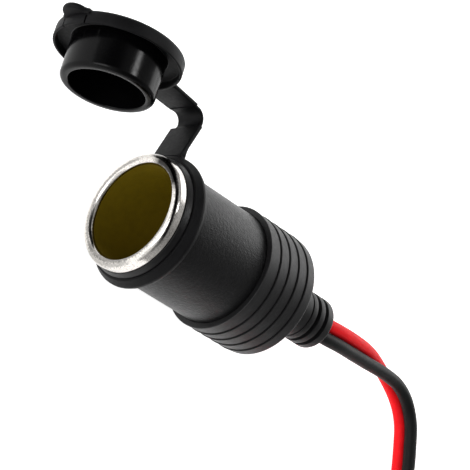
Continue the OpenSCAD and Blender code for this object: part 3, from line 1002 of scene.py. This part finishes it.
@dataclass
class MetalTube(Part):
    """Drawn tube with its lip rolled outwards."""

    bore_r: float = 10.75
    wall: float = 0.5
    curl_r: float = 1.175
    tail: float = 1.5
    step_y: float = 26.3
    seat_r: float = 10.45
    floor_y: float = 30.5
    hole_r: float = 3.6
    hem: float = 0.15
    step_fall: float = 0.3
    seat_fall: float = 0.2
    bright_to: float = 0.35
    bore_reach: float = 0.2

    def outline(self) -> list[Point2]:
        """Closed section of the tube.

        Returns:
            Points of radius and place along the bore.
        """
        middle = (self.bore_r + self.curl_r, 0.0)
        outer = self.bore_r + 2 * self.curl_r
        seat_out = self.seat_r + self.wall
        return [
            (self.bore_r, self.step_y),
            *arc(middle, self.curl_r, 180, 360, 28),
            (outer, self.tail - self.hem),
            *arc((outer - self.wall / 2, self.tail - self.wall / 2), self.wall / 2, 0, 180, 8),
            *arc(middle, self.curl_r - self.wall, 360, 180, 20),
            (self.bore_r + self.wall, self.step_y + self.wall),
            (seat_out, self.step_y + self.wall + self.step_fall),
            (seat_out, self.floor_y + self.wall),
            (self.hole_r, self.floor_y + self.wall),
            (self.hole_r, self.floor_y),
            (self.seat_r, self.floor_y),
            (self.seat_r, self.step_y + self.seat_fall),
        ]

    def build(self) -> None:
        """Make the tube: bright on its lip, passivated inside."""
        piece = self.shop.turn("tube_and_lip", self.outline(), self.shop.paint.chrome, 192)
        piece.data.materials.append(self.shop.paint.bore)
        for face in piece.data.polygons:
            middle = face.center
            radius = math.hypot(middle.x, middle.z)
            if middle.y > self.bright_to * MM and radius < (self.bore_r + self.bore_reach) * MM:
                face.material_index = 1
        place(piece, Body.SOCKET, Slot.PLATED, "socket_shell")


@dataclass
class Barrel(Part):
    """Moulded barrel with its front rim and the neck behind it."""

    inner_r: float = 11.35
    outer_r: float = 13.0
    rim_r: float = 13.6
    rim_inner: float = 13.2
    neck_r: float = 12.6
    front: float = 1.6
    neck_front: float = 3.2
    neck_back: float = 6.3
    rim_slope: float = 0.3
    edge: float = 0.2
    corner: float = 0.12
    back: float = 41.9

    def outline(self) -> list[Point2]:
        """Closed section of the barrel.

        Returns:
            Points of radius and place along the bore.
        """
        return soften([
            (self.inner_r, self.front), (self.rim_inner, self.front),
            (self.rim_r, self.neck_front - self.rim_slope), (self.rim_r, self.neck_front),
            (self.neck_r, self.neck_front), (self.neck_r, self.neck_back),
            (self.outer_r - self.edge, self.neck_back),
            (self.outer_r, self.neck_back + self.edge),
            (self.outer_r, self.back), (self.inner_r, self.back),
        ], self.corner, 3)

    def build(self) -> None:
        """Make the barrel."""
        piece = self.shop.turn("barrel", self.outline(), self.shop.paint.barrel, 160)
        place(piece, Body.SOCKET, Slot.MOULDED, "housing")


@dataclass
class Boot(Part):
    """Soft boot with stepped grip rings, one moulding with the strain relief."""

    bore_r: float = 13.1
    outer_r: float = 14.3
    front: float = 28.0
    first_ring: float = 28.55
    rings: int = 5
    pitch: float = 3.05
    groove: float = 0.4
    depth: float = 0.5
    fall: float = 0.2
    inner_back: float = 42.0
    back: float = 43.6
    edge: float = 0.12
    rear_round: float = 0.7
    throat: tuple[Point2, ...] = ((0, 50.2), (3.35, 50.2), (4.9, 44.6), (6.2, 42.0))
    relief_r: float = 5.95
    relief_reach: float = 6.8
    relief_first: float = 53.9
    relief_ring: float = 1.5
    relief_groove: float = 1.1
    relief_neck: float = 0.6
    relief_fillet: float = 0.8
    relief_round: float = 0.7
    rib_round: float = 0.16
    core_r: float = 4.5
    slot_gap: float = 0.12
    slot_front: float = 49.5
    sharp: float = 28.0

    def grip(self) -> list[Point2]:
        """Stepped side of the boot, from its front edge to its last ring.

        Returns:
            Points of radius and place along the bore.
        """
        wall_lean, floor_lean, nib, nib_run = 0.06, 0.04, 0.06, 0.1
        side = [(self.outer_r - self.edge, self.front), (self.outer_r, self.front + self.edge)]
        for i in range(1, self.rings):
            start = self.first_ring + i * self.pitch
            side += [
                (self.outer_r - self.fall, start - self.groove),
                (self.outer_r - self.depth, start - self.groove + wall_lean),
                (self.outer_r - self.depth, start - floor_lean),
                (self.outer_r - nib, start),
                (self.outer_r, start + nib_run),
            ]
        return side

    def relief(self) -> list[Point2]:
        """Ribbed side of the strain relief.

        Returns:
            Points of radius and place along the bore.
        """
        neck_r, neck_front = self.relief_r - self.relief_neck, self.relief_first - self.groove
        side = [(self.relief_r, neck_front), (neck_r, neck_front), (neck_r, self.relief_first),
                (self.relief_r, self.relief_first)]
        for i in range(2):
            edge = self.relief_first + self.relief_ring
            edge += i * (self.relief_ring + self.relief_groove)
            side += [(self.relief_r, edge), (self.core_r, edge),
                     (self.core_r, edge + self.relief_groove),
                     (self.relief_r, edge + self.relief_groove)]
        return soften(side, self.rib_round, 3, closed=False)

    def build(self) -> None:
        """Make the boot and cut the slot that the leads leave by."""
        rear, fillet, tip = self.rear_round, self.relief_fillet, self.relief_round
        outline = [
            *self.throat, (self.bore_r, self.inner_back), (self.bore_r, self.front), *self.grip(),
            *arc((self.outer_r - self.fall - rear, self.back - rear), rear, 0, 90, 8),
            *arc((self.relief_r + fillet, self.back + fillet), fillet, 270, 180, 5),
            *self.relief(),
            *arc((self.relief_r - tip, RELIEF_END - tip), tip, 0, 90, 5),
            (0, RELIEF_END),
        ]
        piece = self.shop.turn("rear_boot_skin", outline, self.shop.paint.boot, 144, self.sharp)
        relief_from = self.back - 0.01
        for corner in piece.data.vertices:
            spot = corner.co / MM
            if spot.y > relief_from and math.hypot(spot.x, spot.z) < self.relief_reach:
                corner.co.x += RELIEF_X * MM
        slot = [(x + side * PAIR_HALF + RELIEF_X, z)
                for side, start, end in ((1, -90, 90), (-1, 90, 270))
                for x, z in arc((0, 0), LEAD_R + self.slot_gap, start, end, 16)]
        points = [(x, y, z) for y in (self.slot_front, RELIEF_END + 1) for x, z in slot]
        cut_by(piece, solid("slot", points, stack_faces(len(slot), 2)), self.sharp)
        place(piece, Body.SOCKET, Slot.SOFT, "rear_boot")


# ---- the tether and the cap


@dataclass
class Tether(Part):
    """Rubber collar and its strap, with a thin bend that works as a living hinge."""

    inner: float = 12.7
    outer: float = 15.0
    front: float = 3.3
    back: float = 6.2
    cone: float = 0.8
    front_edge: tuple[Point2, ...] = ((-0.25, 0.0), (-0.08, 0.05), (0.0, 0.2))
    crown: Point2 = (4.7, 5.2)
    crown_round: float = 0.45
    back_fall: float = 0.4
    back_edge: Point2 = (0.5, 0.08)
    foot: Point2 = (-15.3, 4.6)
    root_t: float = 1.6
    root_step: float = 0.35
    flare_run: float = 2.4
    corner: float = 0.32
    corner_share: float = 0.42
    width: float = 8.6
    thick: float = 1.05
    rise: float = math.tan(math.radians(19.7))
    run: float = 7.8
    web_centre: Point2 = (-24.5, 6.35)
    web_out: float = 2.75
    web_in: float = 1.95
    web_w: float = 7.0
    upper_x: Point2 = (-27.5, -28.1)
    upper_y: Point2 = (5.6, -2.3)
    upper_t: float = 0.95
    upper_w: float = 7.8

    def collar(self) -> None:
        """Make the collar with the root that carries the strap."""
        small, fallen = self.outer - self.cone, self.outer - self.back_fall
        edge = [(small + r, self.front + y) for r, y in self.front_edge]
        crown = soften([edge[-1], (self.outer, self.crown[0]), (self.outer, self.crown[1]),
                        (fallen, self.back)], self.crown_round, 5, closed=False)
        ring = self.shop.turn("ring", [
            (self.inner, self.front), *edge, *crown[1:-1], (fallen, self.back - self.back_edge[1]),
            (self.outer - self.back_edge[0], self.back), (self.inner, self.back),
        ], self.shop.paint.tether, 144)
        places = [self.foot[0] + self.root_step * k for k in range(5)]
        root = self.loft("root", [((x, self.foot[1]), (x, self.back)) for x in places])
        piece = join("tether_ring", [ring, root])
        place(piece, Body.SOCKET, Slot.TETHER, "tether_collar")

    def loft(self, name: str, stations: list[tuple[Point2, Point2]],
             widths: list[float] | None = None) -> bpy.types.Object:
        """Loft rounded flat sections between an inner and an outer line.

        Args:
            name: The piece's name.
            stations: Pairs of points on the inner and the outer side, in the XY plane.
            widths: Width at each station, or the strap's own everywhere.

        Returns:
            The loft as a closed piece.
        """
        corner_steps = 4
        points: list[Point3] = []
        for i, (inner, outer) in enumerate(stations):
            a, b = Vector(inner), Vector(outer)
            thick = (b - a).length
            half = (widths[i] if widths else self.width) / 2
            r = min(self.corner, self.corner_share * thick)
            section: list[Point2] = []
            for (u, v), start in (((thick - r, half - r), 0), ((r, half - r), 90),
                                  ((r, r - half), 180), ((thick - r, r - half), 270)):
                section += arc((u, v), r, start, start + 90, corner_steps)
            unit = (b - a).normalized()
            points += [(a.x + unit.x * u, a.y + unit.y * u, v) for u, v in section]
        ring = 4 * (corner_steps + 1)
        return solid(name, points, stack_faces(ring, len(stations)), self.shop.paint.tether, 40,
                     weld=1e-7)

    def lower_run(self) -> list[tuple[Point2, Point2]]:
        """Sections of the lower run, from inside the collar's root to its stepped end.

        Returns:
            Pairs of front and back points.
        """
        steps = 48
        back_gap = self.thick * math.hypot(1, self.rise)
        run = []
        for k in range(-2, steps + 1):
            far = self.run * k / steps
            flare = (self.root_t - back_gap) * max(0.0, 1 - max(far, 0) / self.flare_run) ** 2
            front = (self.foot[0] - far, self.foot[1] + far * self.rise)
            run.append((front, (front[0], front[1] + back_gap + flare)))
        front, back = run[-1]
        run.append(((front[0] - 0.1, front[1] + 0.14), (back[0] - 0.1, back[1] - 0.05)))
        return run

    def lower_web(self) -> list[tuple[Point2, Point2]]:
        """Sections of the bend from the lower run's end to its middle.

        Returns:
            Pairs of inner and outer points.
        """
        start = (self.foot[0] - self.run + 0.5, self.foot[1] + (self.run - 0.5) * self.rise)
        inner = [(start[0], start[1] + 0.32), *arc(self.web_centre, self.web_in, 78, 90, 4)]
        outer = [(start[0] + 0.45, start[1] + 0.84), *arc(self.web_centre, self.web_out, 76, 90, 4)]
        inner_line, outer_line = (smooth_path([(x, y, 0) for x, y in line], 0.12)
                                  for line in (inner, outer))
        count = 24

        def sample(line: list[tuple], t: float) -> Point2:
            """Point at a share of a line.

            Args:
                line: Points of the line.
                t: Share from 0 at its start to 1 at its end.

            Returns:
                The point in the XY plane.
            """
            spot = t * (len(line) - 1)
            i = min(int(spot), len(line) - 2)
            f = spot - i
            return tuple(line[i][k] * (1 - f) + line[i + 1][k] * f for k in (0, 1))

        return [(sample(inner_line, k / count), sample(outer_line, k / count))
                for k in range(count + 1)]

    def upper_web(self) -> list[tuple[Point2, Point2]]:
        """Sections of the bend from its middle down to the upper run.

        Returns:
            Pairs of inner and outer points.
        """
        run = list(zip(arc(self.web_centre, self.web_in, 90, 180, 18),
                       arc(self.web_centre, self.web_out, 90, 180, 18)))
        end_y = self.upper_y[0] - 0.5
        for k in range(1, 7):
            y = self.web_centre[1] + (end_y - self.web_centre[1]) * k / 6
            run.append(((self.web_centre[0] - self.web_in, y),
                        (self.web_centre[0] - self.web_out - 0.025 * k, y)))
        return run

    def upper_run(self) -> tuple[list[tuple[Point2, Point2]], list[float]]:
        """Sections of the upper run, leaning out and widening towards the cap.

        Returns:
            Pairs of inner and outer points, and the width at each.
        """
        steps = 30
        run, widths = [], []
        for k in range(-1, steps + 1):
            share = max(k, 0) / steps
            x = self.upper_x[0] + (self.upper_x[1] - self.upper_x[0]) * share
            y = self.upper_y[0] + (self.upper_y[1] - self.upper_y[0]) * share
            y, trim = (y + 0.1, 0.12) if k < 0 else (y, 0.0)
            run.append(((x + self.upper_t - trim, y), (x + trim / 2, y)))
            widths.append(self.upper_w + (self.width - self.upper_w) * share - 2 * trim)
        return run, widths

    def strap(self) -> None:
        """Make the strap's two halves, each of one run and one part of the bend."""
        narrow = [self.web_w] * 60
        upper, upper_widths = self.upper_run()
        halves = (
            ("strap_lower", [("lower_run", self.lower_run(), None),
                             ("lower_web", self.lower_web(), narrow)],
             Body.SOCKET, Body.STRAP, (-15.3, 5.4, 0), (-19.0, 6.6, 0)),
            ("strap_upper", [("upper_web", self.upper_web(), narrow),
                             ("upper_run", upper, upper_widths)],
             Body.STRAP, Body.CAP, (-24.5, 8.7, 0), (-27.4, 1.0, 0)),
        )
        for name, parts, first, second, start, end in halves:
            piece = join(name, [self.loft(part, stations, widths)
                                for part, stations, widths in parts], 34)
            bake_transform(piece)
            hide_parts("tether_strap")
            log.info("%s: %d faces", name, len(piece.data.polygons))

    def build(self) -> None:
        """Make the collar and the strap."""
        self.collar()
        self.strap()


@dataclass
class Cap(Part):
    """Cap with a hollow glossy plug, a shallow skirt and a pull tab, swung open."""

    radius: float = 13.85
    skirt_in: float = 13.3
    top: float = -3.2
    under: float = -1.8
    plug_r: float = 10.15
    hollow_r: float = 8.25
    plug_len: float = 7.6
    plug_round: float = 1.0
    floor: float = -0.6
    disc_flat: float = 1.2
    disc_round: float = 1.0
    brim_round: float = 0.2
    skirt_round: float = 0.15
    pocket_round: float = 0.25
    root_round: float = 0.3
    hollow_round: float = 0.8
    gloss_reach: Point2 = (0.31, 0.1)
    tab_end_r: float = 3.1
    tab_root_r: float = 3.9
    tab_len: float = 3.3
    tab_t: float = 1.3
    tab_sink: float = 0.6
    tab_lift: float = 6.0
    slits: tuple[int, ...] = (-142, -13, 13, 142)
    slit_w: float = 0.4
    slit_over: float = 0.4
    sharp: float = 40.0
    centre: Point3 = (-27.4, -15.9, 0.0)
    angle: float = -92.3

    def matrix(self) -> Matrix:
        """Placement of the cap's own frame, in metres."""
        return (Matrix.Translation([MM * c for c in self.centre])
                @ Matrix.Rotation(math.radians(self.angle), 4, "Z"))

    def outline(self) -> list[Point2]:
        """Section of the disc, skirt and plug, from the axis round to the axis.

        Returns:
            Points of radius and place along the cap's axis.
        """
        disc, brim, skirt, pocket = (self.disc_round, self.brim_round, self.skirt_round,
                                     self.pocket_round)
        root, nose, hollow = self.root_round, self.plug_round, self.hollow_round
        return [
            (0, self.top), (self.radius - self.disc_flat, self.top),
            *arc((self.radius - disc, self.top + disc), disc, 270, 360, 8),
            *arc((self.radius - brim, -brim), brim, 0, 90, 3),
            *arc((self.skirt_in + skirt, -skirt), skirt, 90, 180, 3),
            *arc((self.skirt_in - pocket, self.under + pocket), pocket, 0, -90, 3),
            *arc((self.plug_r + root, self.under + root), root, 270, 180, 4),
            *arc((self.plug_r - nose, self.plug_len - nose), nose, 0, 90, 8),
            *arc((self.hollow_r + root, self.plug_len - root), root, 90, 180, 4),
            *arc((self.hollow_r - hollow, self.floor + hollow), hollow, 0, -90, 5),
            (0, self.floor),
        ]

    def disc(self) -> bpy.types.Object:
        """Make the turned disc, skirt and plug.

        Returns:
            The piece.
        """
        piece = self.shop.turn("cap_shell", self.outline(), self.shop.paint.tether, 160,
                               self.sharp)
        piece.data.materials.append(self.shop.paint.gloss)
        for face in piece.data.polygons:
            middle = face.center
            inside = math.hypot(middle.x, middle.z) < (self.plug_r + self.gloss_reach[0]) * MM
            if inside and middle.y > (self.under - self.gloss_reach[1]) * MM:
                face.material_index = 1
        return piece

    def tab(self) -> bpy.types.Object:
        """Make the pull tab, a thick rounded tongue folded a little outwards.

        Returns:
            The piece.
        """
        middle_x = self.tab_len - self.tab_end_r
        side = [(-1.2, self.tab_root_r), (0.35, self.tab_root_r), (0.5, self.tab_root_r - 0.35),
                (0.75, self.tab_root_r - 0.65)]
        outline = [(x, -z) for x, z in side]
        outline += arc((middle_x, 0), self.tab_end_r, -72, 72, 22)
        outline += side[::-1]
        layers = [(-0.5, 0.55), (-0.44, 0.25), (-0.3, 0.08), (-0.12, 0.0), (0.12, 0.0),
                  (0.3, 0.08), (0.44, 0.25), (0.5, 0.55)]
        middle = Vector((0.6, 0))
        points: list[Point3] = []
        for height, inset in layers:
            for x, z in outline:
                away = Vector((x, z)) - middle
                kept = away * max(0.0, 1 - inset / max(away.length, 0.01))
                points.append((middle.x + kept.x, height * self.tab_t, middle.y + kept.y))
        lift = (Matrix.Translation((MM * (self.radius - self.tab_sink),
                                    MM * (self.top + self.tab_t / 2), 0))
                @ Matrix.Rotation(math.radians(-self.tab_lift), 4, "Z"))
        return solid("tab", points, stack_faces(len(outline), len(layers)),
                     self.shop.paint.tether, 50, turned=lift)

    def cut_slits(self, piece: bpy.types.Object) -> None:
        """Cut the narrow slits that let the skirt stretch beside the tab and the strap.

        Args:
            piece: The turned cap.
        """
        depth = -self.under + self.slit_over
        faces = [(0, 1, 3, 2), (4, 6, 7, 5), (0, 4, 5, 1), (2, 3, 7, 6), (0, 2, 6, 4),
                 (1, 5, 7, 3)]
        corners = [(x, y, z) for x in (self.skirt_in - self.skirt_round, self.radius + 1)
                   for y in (self.under, self.under + depth)
                   for z in (-self.slit_w / 2, self.slit_w / 2)]
        for angle in self.slits:
            turned = Matrix.Rotation(math.radians(angle), 4, "Y")
            cut_by(piece, solid("slit", corners, faces, turned=turned), self.sharp)

    def build(self) -> None:
        """Make the cap."""
        disc = self.disc()
        self.cut_slits(disc)
        parts = [disc, self.tab()]
        for part in parts:
            part.data.transform(self.matrix())
        piece = join("cap_moulding", parts, self.sharp)
        place(piece, Body.CAP, Slot.TETHER, "cap")


# ---- the leads


class Lead(Enum):
    """The two leads of the pair, by the side of the route that each keeps to."""

    RED = 1
    BLACK = -1


@dataclass
class Leads(Part):
    """Bonded pair of leads, from the boot to the coil and its bared ends."""

    tail_half: float = 2.6
    on_edge: float = -11.1
    low: float = -12.65
    high: float = -9.55
    coil_start: float = 90.0
    climb: Point2 = (-187.0, -212.0)
    coil_end: float = -421.2
    spacing: float = 0.8
    tip_y: float = 59.0
    tip_r: float = 0.8
    tip_len: float = 8.0
    tip_turns: float = 1.4
    strand_fit: float = 0.98

    def inside(self) -> list[tuple]:
        """Route inside the boot, as x, y, z, twist and half the distance between the leads.

        Returns:
            The points.
        """
        return [(0, 37.15, 0, 0, 5.9), (0, 40.55, 0, 0, 4.6), (-0.3, 44.6, 0, 0, 2.8),
                (RELIEF_X, 48.2, 0, 0, 1.8), (RELIEF_X, 52, 0, 0, PAIR_HALF),
                (RELIEF_X, RELIEF_END, 0, 0, PAIR_HALF)]

    def free(self) -> list[tuple]:
        """Route from the boot to the coil, in the same form.

        Returns:
            The points.
        """
        floor, side = self.on_edge, COIL_Y + COIL_R
        points = [
            (RELIEF_X, RELIEF_END, 0, 0), (-0.7, 66, 0, 0), (-1.3, 72, 0.06 * floor, 0),
            (-2.15, 79, 0.21 * floor, 0), (-3, 86, 0.39 * floor, 10),
            (-3.6, 92, 0.56 * floor, 30), (-3.7, 98, 0.72 * floor, 55),
            (-3.1, 104, 0.86 * floor, 80), (-1.4, 109, 0.95 * floor, 90),
            (0.8, 112.2, floor, 90), (4, 114.2, floor, 90), (8.5, 115.6, floor, 90),
            (14, 116.9, floor, 90), (20, 117.8, -11.2, 75), (26, side, -12.1, 40),
            (32, side, -13, 12), (38, side, -12.75, 0), (42.5, side, self.low, 0)]
        return [(*point, PAIR_HALF) for point in points]

    def coil(self) -> list[tuple]:
        """The coil's turns, the second climbing onto the first.

        Returns:
            The points, one every five degrees.
        """
        out = []
        steps = 102
        for k in range(steps + 1):
            angle = self.coil_start + (self.coil_end - self.coil_start) * k / steps
            share = (angle - self.climb[0]) / (self.climb[1] - self.climb[0])
            share = min(1.0, max(0.0, share))
            rise = share * share * (3 - 2 * share)
            turn = math.radians(angle)
            out.append((COIL_X + COIL_R * math.cos(turn), COIL_Y + COIL_R * math.sin(turn),
                        self.low + (self.high - self.low) * rise, 0, PAIR_HALF))
        return out

    def tail(self) -> list[tuple]:
        """Route from the coil to the bared ends.

        Returns:
            The points.
        """
        near, wide = PAIR_HALF, self.tail_half
        points = [(7.87, 82.81, self.high, near), (5, 80.5, -9.5, near), (2, 77.6, -9.5, near),
                  (0.5, 73.7, -9.6, near), (0, 69, -11, 2.0), (0, 64, self.low, wide),
                  (0, 61, self.low, wide), (0, self.tip_y, self.low, wide)]
        return [(COIL_X + x, y, z, 0, half) for x, y, z, half in points]

    def offset(self, route: list[tuple], side: int) -> list[Point3]:
        """Middle line of one lead beside the pair's route.

        Args:
            route: The pair's route.
            side: 1 for the red lead and -1 for the black one.

        Returns:
            The lead's points in millimetres.
        """
        line = []
        last = len(route) - 1
        for i, (x, y, z, twist, half) in enumerate(route):
            ahead = Vector(route[min(i + 1, last)][:3]) - Vector(route[max(i - 1, 0)][:3])
            ahead.normalize()
            left = Vector((-ahead.y, ahead.x, 0)).normalized()
            up = (-left).cross(ahead)
            turn = math.radians(twist)
            away = left * math.cos(turn) - up * math.sin(turn)
            line.append(tuple(Vector((x, y, z)) + away * side * half))
        return line

    def tip(self, name: str, x: float) -> bpy.types.Object:
        """Make one bared end of twisted strands.

        Args:
            name: The piece's name.
            x: Its place across the pair, in millimetres.

        Returns:
            The piece.
        """
        start = mesh_of(name, [(x, self.tip_y, self.low)])
        strand = self.tip_r / 3
        return self.shop.strands.bake(name, start, 60, 0.0, Count=6, Lay_Radius=2 * strand * MM,
                                 Strand_Radius=strand * self.strand_fit * MM,
                                 Length=self.tip_len * MM, Turns=self.tip_turns,
                                 Material=self.shop.paint.tinned)

    def build(self) -> None:
        """Make both leads, their inner stretch and their ends."""
        route = smooth_path(self.free() + self.coil() + self.tail(), self.spacing)
        inner = smooth_path(self.inside(), self.spacing)
        paint = self.shop.paint
        finish = {Lead.RED: (paint.red, Slot.RED), Lead.BLACK: (paint.black, Slot.BLACK)}
        for lead in Lead:
            name = lead.name.lower()
            material, slot = finish[lead]
            line = self.offset(route, lead.value)
            core = self.shop.sweep(f"{name}_core", self.offset(inner, lead.value), LEAD_R, material)
            place(core, Body.SOCKET, slot, f"{name}_lead")
            piece = self.shop.sweep(f"{name}_cord", line, LEAD_R, material, 24)
            place(piece, Body.SOCKET, slot, f"{name}_lead", f"{name}_coil", f"{name}_tail")
            tip = self.tip(f"{name}_strands", COIL_X + lead.value * self.tail_half)
            place(tip, Body.SOCKET, Slot.TINNED, f"{name}_tip")


@dataclass
class CoilTie(Part):
    """Tie round the coil's turns, with its locking head."""

    x: float = COIL_X + COIL_R
    y: float = COIL_Y
    ground: float = -15.0
    strap: float = 0.8
    width: float = 3.0
    hole_w: float = 6.6
    hole_h: float = 6.3
    hole_corner: float = 1.2
    skin_corner: float = 1.9
    head_at: Point2 = (0.4, 1.1)
    head_size: Point3 = (4.6, 4.4, 2.8)
    head_round: float = 0.4
    teeth: int = 5
    tooth: Point3 = (0.14, 2.2, 0.3)
    tooth_step: float = -0.32
    first_tooth: Point2 = (-2.3, 0.1)

    def ring(self, grow: float, corner: float) -> list[Point2]:
        """Rounded outline of the hole for the turns, grown on every side.

        Args:
            grow: How far it is grown.
            corner: Its corner radius.

        Returns:
            Points across and up.
        """
        half, low = self.hole_w / 2 + grow, self.ground + self.strap
        high = low + self.hole_h + grow
        return soften([(self.x - half, low - grow), (self.x + half, low - grow),
                       (self.x + half, high), (self.x - half, high)], corner, 5)

    def build(self) -> None:
        """Make the tie."""
        hole, skin = self.ring(0.0, self.hole_corner), self.ring(self.strap, self.skin_corner)
        count = len(hole)
        points = [(x, self.y + side * self.width / 2, z) for side in (-1, 1)
                  for ring in (hole, skin) for x, z in ring]
        faces = []
        for k in range(count):
            j = (k + 1) % count
            faces += [(k, j, count + j, count + k),
                      (2 * count + k, 2 * count + j, 3 * count + j, 3 * count + k),
                      (k, j, 2 * count + j, 2 * count + k),
                      (count + k, count + j, 3 * count + j, 3 * count + k)]
        nylon = self.shop.paint.tie
        loop = solid("loop", points, faces, nylon)
        top = self.ground + self.hole_h + 2 * self.strap
        mesh = bpy.data.meshes.new("head")
        work = bmesh.new()
        spot = Matrix.Translation((MM * (self.x + self.head_at[0]), MM * self.y,
                                   MM * (top + self.head_at[1])))
        bmesh.ops.create_cube(work, size=1.0, matrix=spot @ Matrix.Diagonal(
            (*(MM * side for side in self.head_size), 1)))
        bmesh.ops.bevel(work, geom=work.edges[:], offset=self.head_round * MM, segments=3,
                        affect="EDGES")
        work.to_mesh(mesh)
        work.free()
        settle(mesh)
        mesh.materials.append(nylon)
        first = mesh_of("first", [(self.x + self.first_tooth[0], self.y,
                                   top + self.first_tooth[1])])
        teeth = self.shop.teeth.bake("teeth", first, 30, 0.0, Count=self.teeth,
                                     Step=(self.tooth_step * MM, 0, 0),
                                     Block=tuple(MM * side for side in self.tooth),
                                     Material=nylon)
        piece = join("tie_band", [loop, make_object("head", mesh), teeth])
        place(piece, Body.SOCKET, Slot.TIE, "coil_tie")


# ---- the contacts, carried over from the frame


@dataclass
class Contacts(Part):
    """Nodes of the contact stack, which keep their shape and get their finishes."""

    def build(self) -> None:
        """Give each carried-over node its finish."""
        paint = self.shop.paint
        finishes = {
            "front_insulator": paint.board, "contact_stud": paint.brass,
            "rear_insulator": paint.white, "positive_terminal": paint.tinned,
            "lock_washer": paint.zinc, "hex_nut": paint.zinc,
            "negative_terminal": paint.tinned, "negative_rivet": paint.brass,
        }
        for name, material in finishes.items():
            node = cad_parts[name]
            node.data.materials.clear()
            node.data.materials.append(material)
            log.info("%s: finish %s", name, material.name)


# ---- the stage


@dataclass(frozen=True)
class Flag:
    """Part of the studio that is brighter or darker than the rest.

    The level holds within the inner angle of its direction and fades out at the outer one, both
    in degrees.
    """

    toward: Point3
    inner: float
    outer: float
    level: float


@dataclass(frozen=True)
class Lamp:
    """Soft square light that faces the object, in metres and watts."""

    name: str
    where: Point3
    size: float
    power: float


@dataclass
class Stage:
    """Camera at the photograph's angle, a pale floor and soft lights."""

    focal_px: float = 2194.8
    eye: Point3 = (0.1496, -0.2831, 0.3174)
    right: Point3 = (-0.246, 0.6256, 0.740)
    back: Point3 = (0.334, -0.6622, 0.671)
    ground: float = -0.01502
    half_floor: float = 6.0
    floor_glow: float = 0.85
    target: Point3 = (0, 0.03, 0)
    lamps: tuple[Lamp, ...] = (
        Lamp("key_soft", (0.2, -0.85, 0.32), 0.5, 3),
        Lamp("rear_soft", (-0.35, 0.9, 0.24), 0.4, 1.2),
    )
    ambient: float = 0.46
    flags: tuple[Flag, ...] = (
        Flag((0.5, -0.866, 0.0), 25, 60, 2.1),
        Flag((-0.664, -0.664, 0.342), 12, 32, 0.15),
        Flag((-0.45, -0.6, 0.66), 10, 26, 0.12),
        Flag((0.483, 0.129, 0.866), 20, 48, 0.45),
        Flag((-0.334, 0.17, 0.927), 4, 7, 50.0),
        Flag((-0.67, 0.68, 0.27), 8, 25, 6.0),
    )

    def camera(self) -> None:
        """Set the camera up."""
        data = bpy.data.cameras.new("photo_camera")
        data.sensor_width = SENSOR
        data.lens = SENSOR * self.focal_px / IMAGE
        camera = make_object("photo_camera", data)
        back = Vector(self.back).normalized()
        right = Vector(self.right)
        right = (right - back * right.dot(back)).normalized()
        up = back.cross(right)
        turned = Matrix((right, up, back)).transposed().to_4x4()
        camera.matrix_world = Matrix.Translation(self.eye) @ turned
        bpy.context.scene.camera = camera

    def floor(self) -> None:
        """Lay the pale floor."""
        far = self.half_floor
        mesh = bpy.data.meshes.new("floor")
        mesh.from_pydata([(x, y, self.ground) for x, y in
                          ((-far, -far), (far, -far), (far, far), (-far, far))],
                         [], [(0, 1, 2, 3)])
        shade = Shade("pale_floor")
        shade.set(Base_Color=(0.9, 0.9, 0.9, 1), Roughness=0.9, Emission_Color=(1, 1, 1, 1),
                  Emission_Strength=self.floor_glow)
        mesh.materials.append(shade.material)
        make_object("floor", mesh)

    def hang(self, lamp: Lamp) -> None:
        """Hang one lamp.

        Args:
            lamp: The lamp.
        """
        data = bpy.data.lights.new(lamp.name, "AREA")
        data.size = lamp.size
        data.energy = lamp.power
        light = make_object(lamp.name, data)
        light.location = lamp.where
        light.rotation_mode = "QUATERNION"
        light.rotation_quaternion = (Vector(lamp.where) - Vector(self.target)).to_track_quat(
            "Z", "Y")

    def sky(self) -> None:
        """Set the studio round the object: an even level that the flags raise and lower."""
        world = bpy.data.worlds.new("studio")
        world.use_nodes = True
        tree = world.node_tree
        where = tree.nodes.new("ShaderNodeTexCoord").outputs["Generated"]

        def product(first: object) -> bpy.types.Node:
            """Multiply node whose first factor is linked.

            Args:
                first: Socket of the first factor.

            Returns:
                The node, its second factor still to be given.
            """
            node = tree.nodes.new("ShaderNodeMath")
            node.operation = "MULTIPLY"
            tree.links.new(first, node.inputs[0])
            return node

        level = None
        for flag in self.flags:
            facing = tree.nodes.new("ShaderNodeVectorMath")
            facing.operation = "DOT_PRODUCT"
            facing.inputs[1].default_value = Vector(flag.toward).normalized()
            tree.links.new(where, facing.inputs[0])
            edge = tree.nodes.new("ShaderNodeMapRange")
            edge.interpolation_type = "SMOOTHSTEP"
            for name, number in (("From Min", math.cos(math.radians(flag.outer))),
                                 ("From Max", math.cos(math.radians(flag.inner))),
                                 ("To Min", 1.0), ("To Max", flag.level)):
                edge.inputs[name].default_value = number
            tree.links.new(facing.outputs["Value"], edge.inputs["Value"])
            if level is None:
                level = edge.outputs["Result"]
            else:
                both = product(level)
                tree.links.new(edge.outputs["Result"], both.inputs[1])
                level = both.outputs["Value"]
        ambient = product(level)
        ambient.inputs[1].default_value = self.ambient
        tree.links.new(ambient.outputs["Value"], tree.nodes["Background"].inputs["Strength"])
        tree.nodes["Background"].inputs["Color"].default_value = (1, 1, 1, 1)
        bpy.context.scene.world = world

    def build(self) -> None:
        """Set camera, floor, lights and studio."""
        self.camera()
        self.floor()
        for lamp in self.lamps:
            self.hang(lamp)
        self.sky()
        bpy.context.scene.view_settings.view_transform = "Standard"


def main() -> None:
    """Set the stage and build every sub-assembly in order."""
    logging.basicConfig(level=logging.INFO, format="%(name)s: %(message)s")
    shop = Workshop(Paint(), turning_recipe(), sweeping_recipe(), strand_recipe(), teeth_recipe())
    Stage().build()
    for kind in (Leads, CoilTie, MetalTube, Barrel, Boot, Tether, Cap, Contacts):
        kind(shop).build()


if __name__ == "__main__":
    main()
